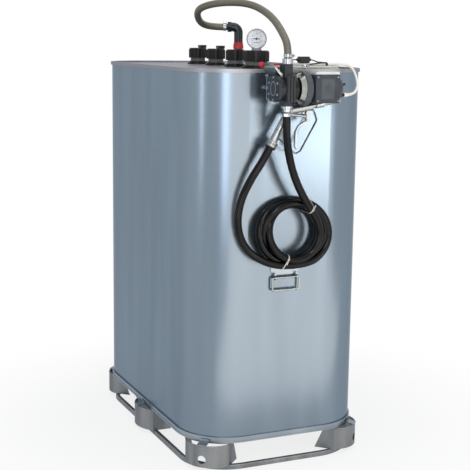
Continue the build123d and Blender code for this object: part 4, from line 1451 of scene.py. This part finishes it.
@dataclass(frozen=True)
class Heads:
    """Fastener heads of one size, set on the tank by a Geometry Nodes tree."""

    name: str
    spots: list[tuple[Vector, Vector]]
    radius: float
    height: float
    form: Head
    taper: float = 0.84
    # The recess is a flat prism a little taller than the head, so it shows as a dark disc on top. Its socket
    # finish is painted shade for the hole of the socket.
    recess_share: float = 0.45
    recess_sides: int = 6
    recess_rise: float = 1.03
    finish: str = "fastener_steel"
    socket: str = "dial_ink"
    seed: int = 7

    def tree(self, book: FinishBook) -> bpy.types.NodeTree:
        """Make the tree: a head with its recess on every point, turned to the point's facing. The recess is a
        dark prism a hair proud of the head, painted shade standing in for the socket's hole.

        Args:
            book: The finishes.

        Returns:
            The node tree.
        """
        kinds = {"Radius": "Float", "Height": "Float", "Sides": "Int", "Seed": "Int"}
        tree, given = start_tree(self.name, kinds)
        narrow = add_node(tree, "ShaderNodeMath", {0: given["Radius"], 1: self.taper}, operation="MULTIPLY")
        recess_r = add_node(
            tree, "ShaderNodeMath", {0: given["Radius"], 1: self.recess_share}, operation="MULTIPLY"
        )
        recess_h = add_node(
            tree, "ShaderNodeMath", {0: given["Height"], 1: self.recess_rise}, operation="MULTIPLY"
        )
        head = add_node(
            tree,
            "GeometryNodeMeshCone",
            {
                "Vertices": given["Sides"],
                "Radius Top": narrow.outputs["Value"],
                "Radius Bottom": given["Radius"],
                "Depth": given["Height"],
            },
        )
        recess = add_node(
            tree,
            "GeometryNodeMeshCone",
            {
                "Vertices": self.recess_sides,
                "Radius Top": recess_r.outputs["Value"],
                "Radius Bottom": recess_r.outputs["Value"],
                "Depth": recess_h.outputs["Value"],
            },
        )
        both = add_node(tree, "GeometryNodeJoinGeometry")
        # The recess prism wears the dark socket finish: painted shade in place of the socket's hole.
        for mesh, finish in ((head, self.finish), (recess, self.socket)):
            coated = add_node(
                tree,
                "GeometryNodeSetMaterial",
                {"Geometry": mesh.outputs["Mesh"], "Material": book.made[finish]},
            )
            tree.links.new(coated.outputs["Geometry"], both.inputs["Geometry"])
        facing = add_node(
            tree, "GeometryNodeInputNamedAttribute", {"Name": "facing"}, data_type="FLOAT_VECTOR"
        )
        turned = add_node(
            tree, "FunctionNodeAlignRotationToVector", {"Vector": facing.outputs["Attribute"]}, axis="Z"
        )
        spin = add_node(
            tree,
            "FunctionNodeRandomValue",
            {"Min": (0.0, 0.0, 0.0), "Max": (0.0, 0.0, math.tau), "Seed": given["Seed"]},
            data_type="FLOAT_VECTOR",
        )
        twist = add_node(
            tree,
            "FunctionNodeRotateRotation",
            {"Rotation": turned.outputs["Rotation"], "Rotate By": spin.outputs["Value"]},
            rotation_space="LOCAL",
        )
        placed = add_node(
            tree,
            "GeometryNodeInstanceOnPoints",
            {
                "Points": given["Geometry"],
                "Instance": both.outputs["Geometry"],
                "Rotation": twist.outputs["Rotation"],
            },
        )
        real = add_node(tree, "GeometryNodeRealizeInstances", {"Geometry": placed.outputs["Instances"]})
        add_node(tree, "NodeGroupOutput", {"Geometry": real.outputs["Geometry"]})
        return tree

    def build(self, book: FinishBook) -> None:
        """Set the heads as one mesh.

        Args:
            book: The finishes.
        """
        points = bpy.data.meshes.new(f"{self.name}_points")
        points.from_pydata([place for place, _ in self.spots], [], [])
        facing = points.attributes.new("facing", "FLOAT_VECTOR", "POINT")
        facing.data.foreach_set("vector", [part for _, way in self.spots for part in way])
        values = {"Radius": self.radius, "Height": self.height, "Sides": self.form.value, "Seed": self.seed}
        attach(link(self.name, run_tree(self.tree(book), points, values)))
        LOG.info("%s: %d heads", self.name, len(self.spots))


@dataclass
class GaugeFace:
    """Marks, numbers and pointer on the level gauge's dial, in millimetres on its face."""

    book: FinishBook
    heading: float = math.radians(-114.0)
    start: float = math.radians(205)
    stop: float = math.radians(-25)
    reach_mm: float = 27.0
    marks: int = 21
    mark_size: Point = (0.9, 4.0, 0.3)
    dial_half: float = 0.5
    lift: float = 0.3
    number_size: float = 5.5
    number_in: float = 7.0
    number_lift: float = 0.2
    number_half: float = 0.15
    numbers: tuple[str, ...] = ("0", "25", "50", "75", "100")
    reading: float = 0.11
    needle_low: Point = (-15, -1.0, 0.8)
    needle_high: Point = (24, 1.0, 1.4)
    line_low: Point = (-13, -15.4, 0.0)
    line_high: Point = (13, -14.2, 0.3)
    hub_line: tuple[Pair, ...] = ((0, 0), (4, 0), (4, 2.0), (3, 2.6), (0, 2.6))

    def angle(self, share: float) -> float:
        """Angle of a share of the scale, in radians."""
        return self.start + (self.stop - self.start) * share

    def placement(self) -> Matrix:
        """Placement of the dial: X to the right and Y up on its face, Z outwards.

        Returns:
            The placement.
        """
        out = Vector((math.cos(self.heading), math.sin(self.heading), 0.0))
        up = Vector((0.0, 0.0, 1.0))
        turn = Matrix((up.cross(out), up, out)).transposed().to_4x4()
        return Matrix.Translation(centre_of("gauge_dial") + out * (self.dial_half + self.lift) * MM) @ turn

    def mark_tree(self) -> bpy.types.NodeTree:
        """Make the tree that repeats one mark along the arc.

        Returns:
            The node tree.
        """
        kinds = {"Marks": "Int", "Reach": "Float", "Start": "Float", "Sweep": "Float"}
        tree, given = start_tree("dial_marks", kinds)
        arc = add_node(
            tree,
            "GeometryNodeCurveArc",
            {
                "Resolution": given["Marks"],
                "Radius": given["Reach"],
                "Start Angle": given["Start"],
                "Sweep Angle": given["Sweep"],
            },
        )
        mark = add_node(tree, "GeometryNodeMeshCube", {"Size": Vector(self.mark_size) * MM})
        points = add_node(
            tree, "GeometryNodeCurveToPoints", {"Curve": arc.outputs["Curve"]}, mode="EVALUATED"
        )
        placed = add_node(
            tree,
            "GeometryNodeInstanceOnPoints",
            {
                "Points": points.outputs["Points"],
                "Instance": mark.outputs["Mesh"],
                "Rotation": points.outputs["Rotation"],
            },
        )
        real = add_node(tree, "GeometryNodeRealizeInstances", {"Geometry": placed.outputs["Instances"]})
        inked = add_node(
            tree,
            "GeometryNodeSetMaterial",
            {"Geometry": real.outputs["Geometry"], "Material": self.book.made["dial_blue"]},
        )
        add_node(tree, "NodeGroupOutput", {"Geometry": inked.outputs["Geometry"]})
        return tree

    def number(self, words: str, angle: float, place: Matrix) -> bpy.types.Mesh:
        """One number on the dial.

        Args:
            words: Its digits.
            angle: Its place round the dial.
            place: The dial's placement.

        Returns:
            The number as a mesh.
        """
        text = bpy.data.curves.new(f"number_{words}", "FONT")
        text.body = words
        text.size = self.number_size * MM
        text.align_x = "CENTER"
        text.align_y = "CENTER"
        text.extrude = self.number_half * MM
        holder = link(text.name, text)
        bpy.context.view_layer.update()
        mesh = bpy.data.meshes.new_from_object(holder)
        bpy.data.objects.remove(holder)
        near = self.reach_mm - self.number_in
        spot = Vector((math.cos(angle) * near, math.sin(angle) * near, self.number_lift)) * MM
        mesh.transform(place @ Matrix.Translation(spot))
        return mesh

    def build(self) -> None:
        """Set the marks, the numbers and the pointer on the dial."""
        place = self.placement()
        values = {
            "Marks": self.marks,
            "Reach": self.reach_mm * MM,
            "Start": self.start,
            "Sweep": self.stop - self.start,
        }
        marks = run_tree(self.mark_tree(), bpy.data.meshes.new("dial_marks_points"), values)
        marks.transform(place)
        attach(link("dial_marks", marks))
        inks = [
            self.number(number, self.angle(index / (len(self.numbers) - 1)), place)
            for index, number in enumerate(self.numbers)
        ]
        turn = place @ Matrix.Rotation(self.angle(self.reading), 4, "Z")
        low, high = Vector(self.needle_low) * MM, Vector(self.needle_high) * MM
        inks.append(block_mesh("needle", low, high, 0.0, turn))
        inks.append(turned_mesh("hub", self.hub_line, place.translation, place.col[2].to_3d()))
        low, high = Vector(self.line_low) * MM, Vector(self.line_high) * MM
        inks.append(block_mesh("dial_line", low, high, 0.0, place))
        attach(dressed("dial_face", joined("dial_face", inks), self.book.made["dial_ink"]))


@dataclass
class PumpGroup:
    """Cover plate, terminal box, motor fins and worm housings, and all fasteners."""

    book: FinishBook
    front: float
    rear: float
    pump: Vector
    oval_line: tuple[Pair, ...] = ((24, -0.5), (27, -0.5), (27, 1.2), (26, 1.8), (25, 1.8), (24, 1.0))
    oval_share: float = 0.82
    swivel_length: float = 25.4 * MM
    swivel_line: tuple[Pair, ...] = (
        (15.2, 4),
        (21, 4),
        (22, 5),
        (22, 9),
        (19.5, 10.5),
        (19.5, 15),
        (22.5, 17),
        (22.5, 24),
        (21.5, 25.4),
        (15.2, 25.4),
    )
    lock_line: tuple[Pair, ...] = ((15.2, -1.5), (20, -1.5), (21, -0.5), (21, 3.5), (15.2, 3.5))
    lid: float = 15 * MM
    lid_gap: float = 1.2 * MM
    lid_set: float = 1.6 * MM
    box_bevel: float = 4 * MM
    plate_inset: Pair = (24 * MM, 16 * MM)
    plate_sunk: float = 0.5 * MM
    plate_back: float = 0.4 * MM
    plate_bevel: float = 0.3 * MM
    lid_screw_inset: float = 9 * MM
    fins: int = 28
    fin_clear: float = -0.9
    fin_half: float = 1.1 * MM
    fin_root: float = 1 * MM
    fin_rise: float = 3.5 * MM
    fin_ends: Pair = (6 * MM, 8 * MM)
    fin_bevel: float = 0.5 * MM
    worm_low: Point = (-9, -6.6, -2.0)
    worm_high: Point = (7, 6.6, 7.0)
    worm_bevel: float = 1.6 * MM
    worm_head: Point = (9.5, 0.0, 2.6)
    outlet_worm: Point = (-0.5, -0.87, 0.0)
    inlet_worm: Point = (0.35, -0.94, 0.0)
    elbow_heading: float = math.radians(156.0)
    cover_ring: float = 41 * MM
    cover_screws: int = 6
    bracket_t: float = 4 * MM
    bracket_xs: Pair = (-94, 98)
    bracket_zs: Pair = (1478, 1550)
    handle_plate_t: float = 3 * MM
    rivet_xs: tuple[float, ...] = (-64, 36, -38, 10)
    rivet_z: float = 818

    def cover_plate(self) -> None:
        """Bare raised oval on the pump's round cover."""
        low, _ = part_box("pump_cover")
        heart = Vector((low[0], self.pump.y, centre_of("pump_cover").z))
        ring = turned_mesh("cover_oval", self.oval_line, heart, Vector((-1.0, 0.0, 0.0)))
        narrow = Matrix.Diagonal((1.0, self.oval_share, 1.0, 1.0))
        ring.transform(Matrix.Translation(heart) @ narrow @ Matrix.Translation(-heart))
        attach(dressed("cover_oval", ring, self.book.made["plate_grey"]))

    def swivel_sleeve(self) -> None:
        """Turned swivel with a flanged top and a black lock ring at the hose's end."""
        start = centre_of("nozzle_swivel") - SWIVEL_LEAN * (self.swivel_length / 2)
        for name, outline, finish, slot in (
            ("nozzle_swivel_turned", self.swivel_line, "nozzle_alloy", "polished"),
            ("nozzle_swivel_lock", self.lock_line, "cap_black", "cap_black"),
        ):
            mesh = turned_mesh(name, outline, start, SWIVEL_LEAN)
            attach(dressed(name, mesh, self.book.made[finish]), ("nozzle_swivel",))

    def terminal_box(self) -> list[tuple[Vector, Vector]]:
        """Terminal box with a parted lid and a bare plate.

        Returns:
            Places and facings of the lid's screws.
        """
        low, high = (Vector(corner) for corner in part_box("terminal_box"))
        back, gap = low.y + self.lid, self.lid_gap
        face = low.y + self.lid_set
        parts = [
            block_mesh("box_base", Vector((low.x, back + gap, low.z)), high, self.box_bevel),
            block_mesh(
                "box_joint",
                Vector((low.x + gap, back - gap, low.z + gap)),
                Vector((high.x - gap, back + 2 * gap, high.z - gap)),
                0.0,
            ),
            block_mesh(
                "box_lid", Vector((low.x, face, low.z)), Vector((high.x, back, high.z)), self.box_bevel
            ),
        ]
        body = joined("terminal_box_lidded", parts)
        body = dressed("terminal_box_lidded", body, self.book.made["box_plastic"])
        attach(body, ("terminal_box",))
        across, upward = self.plate_inset
        plate = block_mesh(
            "box_plate",
            Vector((low.x + across, face - self.plate_sunk, low.z + upward)),
            Vector((high.x - across, face + self.plate_back, high.z - upward)),
            self.plate_bevel,
        )
        attach(dressed("box_plate", plate, self.book.made["motor_paint"]))
        inset = self.lid_screw_inset
        return [
            (Vector((x, face, z)), Vector((0.0, -1.0, 0.0)))
            for x in (low.x + inset, high.x - inset)
            for z in (low.z + inset, high.z - inset)
        ]

    def motor_fins(self) -> None:
        """Cooling fins along the motor's shell, all round but for its underside."""
        low, high = (Vector(corner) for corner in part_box("motor_shell"))
        centre = (low + high) / 2
        reach = (high.z - low.z) / 2
        near, far = self.fin_ends
        fins = []
        for index in range(self.fins):
            turn = math.tau * index / self.fins
            if math.cos(turn) < self.fin_clear:
                continue
            place = Matrix.Translation(Vector((0.0, centre.y, centre.z))) @ Matrix.Rotation(turn, 4, "X")
            fins.append(
                block_mesh(
                    "fin",
                    Vector((low.x + near, -self.fin_half, reach - self.fin_root)),
                    Vector((high.x - far, self.fin_half, reach + self.fin_rise)),
                    self.fin_bevel,
                    place,
                )
            )
        mesh = joined("motor_fins", fins)
        attach(dressed("motor_fins", mesh, self.book.made["motor_paint"]))

    def clamp_worms(self) -> list[tuple[Vector, Vector]]:
        """Worm housings on the three hose clamps.

        Returns:
            Places and facings of the worm screws.
        """
        outlet, inlet, elbow = islands("hose_clamps")
        up = Vector((0.0, 0.0, 1.0))
        along = Vector((math.cos(self.elbow_heading), math.sin(self.elbow_heading), 0.0))
        housings, screws = [], []
        for (low, high), axis, out in (
            (outlet, up, Vector(self.outlet_worm).normalized()),
            (inlet, up, Vector(self.inlet_worm).normalized()),
            (elbow, along, up),
        ):
            reach = (high.x - low.x) / 2 if axis is up else (high.z - low.z) / 2
            across = axis.cross(out).normalized()
            turn = Matrix((across, axis, out)).transposed().to_4x4()
            place = Matrix.Translation((low + high) / 2 + out * reach) @ turn
            housings.append(
                block_mesh(
                    "worm", Vector(self.worm_low) * MM, Vector(self.worm_high) * MM, self.worm_bevel, place
                )
            )
            screws.append((place @ (Vector(self.worm_head) * MM), across))
        mesh = joined("clamp_worms", housings)
        attach(dressed("clamp_worms", mesh, self.book.made["chrome"]))
        return screws

    def cover_spots(self) -> list[tuple[Vector, Vector]]:
        """Places and facings of the pump cover's screws.

        Returns:
            A place and a facing for each.
        """
        low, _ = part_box("pump_cover")
        heart = centre_of("pump_cover")
        pitch = math.tau / self.cover_screws
        spots = []
        for step in range(self.cover_screws):
            turn = pitch * (step + 0.5)
            y = heart.y + self.cover_ring * math.cos(turn)
            z = heart.z + self.cover_ring * math.sin(turn)
            spots.append((Vector((low[0], y, z)), Vector((-1.0, 0.0, 0.0))))
        return spots

    def bracket_spots(self) -> list[tuple[Vector, Vector]]:
        """Places and facings of the bolts that hold the pump's bracket.

        Returns:
            A place and a facing for each.
        """
        face = self.front - self.bracket_t
        return [
            (Vector((x * MM, face, z * MM)), Vector((0.0, -1.0, 0.0)))
            for x in self.bracket_xs
            for z in self.bracket_zs
        ]

    def rivet_spots(self) -> list[tuple[Vector, Vector]]:
        """Places and facings of the rivets in both drop handles' plates.

        Returns:
            A place and a facing for each.
        """
        return [
            (Vector((x * MM, wall + way * self.handle_plate_t, self.rivet_z * MM)), Vector((0.0, way, 0.0)))
            for wall, way in ((self.front, -1.0), (self.rear, 1.0))
            for x in self.rivet_xs
        ]

    def build(self) -> None:
        """Add every fitting and its fasteners."""
        self.cover_plate()
        self.swivel_sleeve()
        lid_screws = self.terminal_box()
        self.motor_fins()
        worm_screws = self.clamp_worms()
        for heads in (
            Heads("cover_screws", self.cover_spots(), 4.6 * MM, 3.4 * MM, Head.HEX),
            Heads("box_screws", lid_screws, 3.4 * MM, 1.6 * MM, Head.ROUND),
            Heads("bracket_bolts", self.bracket_spots(), 7.5 * MM, 5.0 * MM, Head.HEX),
            Heads("handle_rivets", self.rivet_spots(), 4.2 * MM, 2.2 * MM, Head.ROUND),
            Heads("worm_screws", worm_screws, 3.6 * MM, 5.0 * MM, Head.HEX),
        ):
            heads.build(self.book)


@dataclass(frozen=True)
class SoftBox:
    """One rectangular lamp: its place and aim in metres, its size, power in watts and tint."""

    name: str
    place: Point
    aim: Point
    size: Pair
    power: float
    tint: str = "#FFFFFF"

    def build(self) -> None:
        """Hang the lamp and turn it to its aim."""
        data = bpy.data.lights.new(self.name, "AREA")
        data.shape = "RECTANGLE"
        data.size, data.size_y = self.size
        data.energy = self.power
        data.color = to_linear(self.tint)[:3]
        thing = link(self.name, data)
        heading = Vector(self.aim) - Vector(self.place)
        thing.location = self.place
        thing.rotation_euler = heading.to_track_quat("-Z", "Y").to_euler()


@dataclass
class Studio:
    """Pale floor, soft lamps and the camera."""

    tank_y: float
    lens: float = 86.14
    sensor: float = 36.0
    sight: float = 60.0
    yaw: float = 0.4257
    pitch: float = 0.1770
    roll: float = 0.0134
    eye: Point = (-1975.6, -4452.0, 1708.8)
    white: str = "#FFFFFF"
    fill: float = 0.6
    floor_half: float = 14.0
    floor_tone: str = "#E6E8EA"
    floor_near: float = 0.6
    floor_far: float = 1.7
    near_glow: float = 0.8
    lamps: tuple[SoftBox, ...] = (
        SoftBox("front_wall", (0.3, -4.6, 0.95), (0.0, -0.5, 0.9), (4.4, 1.9), 38.0, "#FFEDDC"),
        SoftBox("front_low", (0.7, -2.45, 0.03), (0.7, -2.4, 2.0), (3.8, 3.5), 50.0, "#FFEDDC"),
        SoftBox("corner_strip", (-2.2, -4.1, 1.35), (-0.25, -0.5, 1.1), (1.0, 1.8), 24.0, "#F2F6FF"),
        SoftBox("front_band", (2.25, -4.2, 0.95), (0.12, -0.53, 1.26), (0.2, 0.6), 9.0),
        SoftBox("hose_streak", (-0.9, -3.6, 2.9), (-0.05, -0.6, 1.0), (0.3, 1.2), 32.0),
        SoftBox("side_strip", (-4.3, -1.0, 1.5), (-0.3, -0.4, 1.2), (0.4, 1.4), 7.0),
        SoftBox("top_box", (0.0, -0.6, 4.2), (0.0, 0.0, 0.8), (3.0, 3.0), 40.0),
    )

    def camera(self) -> None:
        """Set the camera at the photograph's viewpoint."""
        data = bpy.data.cameras.new("photo_camera")
        data.lens = self.lens
        data.sensor_width = self.sensor
        data.clip_end = self.sight
        ahead = Vector(
            (
                math.sin(self.yaw) * math.cos(self.pitch),
                math.cos(self.yaw) * math.cos(self.pitch),
                -math.sin(self.pitch),
            )
        )
        right = Vector((math.cos(self.yaw), -math.sin(self.yaw), 0.0))
        up = right.cross(ahead)
        side = right * math.cos(self.roll) + up * math.sin(self.roll)
        top = -right * math.sin(self.roll) + up * math.cos(self.roll)
        turn = Matrix((side, top, -ahead)).transposed().to_4x4()
        place = Vector(self.eye) * MM + Vector((0.0, self.tank_y, 0.0))
        thing = link("photo_camera", data)
        thing.matrix_world = Matrix.Translation(place) @ turn
        bpy.context.scene.camera = thing

    def world(self) -> None:
        """White surroundings for the camera and for reflections, softer for plain light."""
        world = bpy.data.worlds.new("studio")
        bpy.context.scene.world = world
        world.use_nodes = True
        tree = world.node_tree
        tree.nodes.clear()
        white = to_linear(self.white)
        seen = add_node(tree, "ShaderNodeBackground", {"Color": white, "Strength": 1.0})
        light = add_node(tree, "ShaderNodeBackground", {"Color": white, "Strength": self.fill})
        mixed = add_node(
            tree,
            "ShaderNodeMixShader",
            {"Fac": self.seen_rays(tree), 1: light.outputs["Background"], 2: seen.outputs["Background"]},
        )
        add_node(tree, "ShaderNodeOutputWorld", {"Surface": mixed.outputs["Shader"]})

    def seen_rays(self, tree: bpy.types.NodeTree) -> bpy.types.NodeSocket:
        """Tell the rays that show the surroundings from those that light the object.

        Args:
            tree: The node tree.

        Returns:
            One for camera, glossy and transmitted rays.
        """
        rays = add_node(tree, "ShaderNodeLightPath")
        first = add_node(
            tree,
            "ShaderNodeMath",
            {0: rays.outputs["Is Glossy Ray"], 1: rays.outputs["Is Transmission Ray"]},
            operation="MAXIMUM",
        )
        second = add_node(
            tree,
            "ShaderNodeMath",
            {0: first.outputs["Value"], 1: rays.outputs["Is Camera Ray"]},
            operation="MAXIMUM",
        )
        return second.outputs["Value"]

    def floor(self) -> None:
        """Wide pale floor: shaded close to the object, plain white further off."""
        half = self.floor_half
        mesh = bpy.data.meshes.new("floor")
        corners = [(-half, -half, 0), (half, -half, 0), (half, half, 0), (-half, half, 0)]
        mesh.from_pydata(corners, [], [(0, 1, 2, 3)])
        material, tree = start_material("floor_white")
        shader = add_node(
            tree,
            "ShaderNodeBsdfPrincipled",
            {"Base Color": to_linear(self.floor_tone), "Roughness": 0.8, "Specular IOR Level": 0.2},
        )
        place = add_node(tree, "ShaderNodeTexCoord").outputs["Object"]
        away = add_node(tree, "ShaderNodeVectorMath", {0: place}, operation="LENGTH")
        far = add_node(
            tree,
            "ShaderNodeMapRange",
            {"Value": away.outputs["Value"], "From Min": self.floor_near, "From Max": self.floor_far},
            interpolation_type="SMOOTHSTEP",
        )
        glow = add_node(
            tree,
            "ShaderNodeMapRange",
            {"Value": far.outputs["Result"], "To Min": self.near_glow, "To Max": 1.0},
        )
        share = add_node(
            tree,
            "ShaderNodeMath",
            {0: self.seen_rays(tree), 1: glow.outputs["Result"]},
            operation="MULTIPLY",
        )
        white = add_node(tree, "ShaderNodeEmission", {"Color": to_linear(self.white), "Strength": 1.0})
        mixed = add_node(
            tree,
            "ShaderNodeMixShader",
            {"Fac": share.outputs["Value"], 1: shader.outputs["BSDF"], 2: white.outputs["Emission"]},
        )
        add_node(tree, "ShaderNodeOutputMaterial", {"Surface": mixed.outputs["Shader"]})
        dressed("floor", mesh, material)

    def build(self) -> None:
        """Set the whole studio."""
        self.camera()
        self.world()
        self.floor()
        for lamp in self.lamps:
            lamp.build()


WORN_BY: dict[str, tuple[str, ...]] = {
    "zinc_skin": ("tank_jacket",),
    "zinc_fold": ("tank_bottom", "foot_clips", "handle_plate_front", "handle_plate_rear"),
    "zinc_roof": ("tank_top",),
    "zinc_dull": (
        "base_ring",
        "foot_rear_right",
        "foot_rear_left",
        "foot_front_left",
        "foot_front_right",
        "side_foot_left",
        "side_foot_right",
    ),
    "zinc_plate": ("pump_bracket", "nozzle_holder", "handle_bail_front", "handle_bail_rear"),
    "tank_plastic": ("inner_tank",),
    "cap_black": (
        "neck_collars",
        "cap_fill",
        "cap_vent",
        "cap_suction",
        "cap_gauge",
        "cap_plugs",
        "cable_gland",
        "switch_base",
        "switch_lever",
        "fuse_holder",
        "fuse_wires",
    ),
    "union_red": ("suction_union",),
    "elbow_black": ("suction_elbow",),
    "gauge_ring": ("gauge_case",),
    "dial_white": ("gauge_dial",),
    "clear_window": ("gauge_glass",),
    "pump_paint": ("pump_body", "pump_cover"),
    "pump_black": ("pump_flange",),
    "bell_metal": ("motor_bell",),
    "motor_paint": ("motor_ring", "motor_shell"),
    "box_plastic": ("terminal_box",),
    "rail_white": ("box_rail",),
    "chrome": ("inlet_fitting", "outlet_fitting", "hose_clamps"),
    "tie_white": ("hose_ties",),
    "nozzle_alloy": ("nozzle_swivel", "nozzle_body", "nozzle_spout", "nozzle_lever"),
    "guard_steel": ("nozzle_guard",),
    "lead_white": ("lead_cable", "lead_hank"),
    "clamp_steel": ("clamp_jaws",),
    "grip_red": ("clamp_grips",),
}


def main() -> None:
    """Build every finish and piece in order."""
    logging.basicConfig(level=logging.INFO, format="%(message)s")
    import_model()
    bpy.context.scene.view_settings.view_transform = "Standard"
    book = FinishBook()
    book.build()
    for finish, nodes in WORN_BY.items():
        for node in nodes:
            book.dress(node, finish)
    front, rear = (corner[1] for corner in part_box("tank_jacket"))
    pump = centre_of("inlet_fitting")
    Hoses(book, front, pump).build()
    PowerLead(book, front).build()
    GaugeFace(book).build()
    PumpGroup(book, front, rear, pump).build()
    Studio(centre_of("tank_jacket").y).build()


if __name__ == "__main__":
    main()
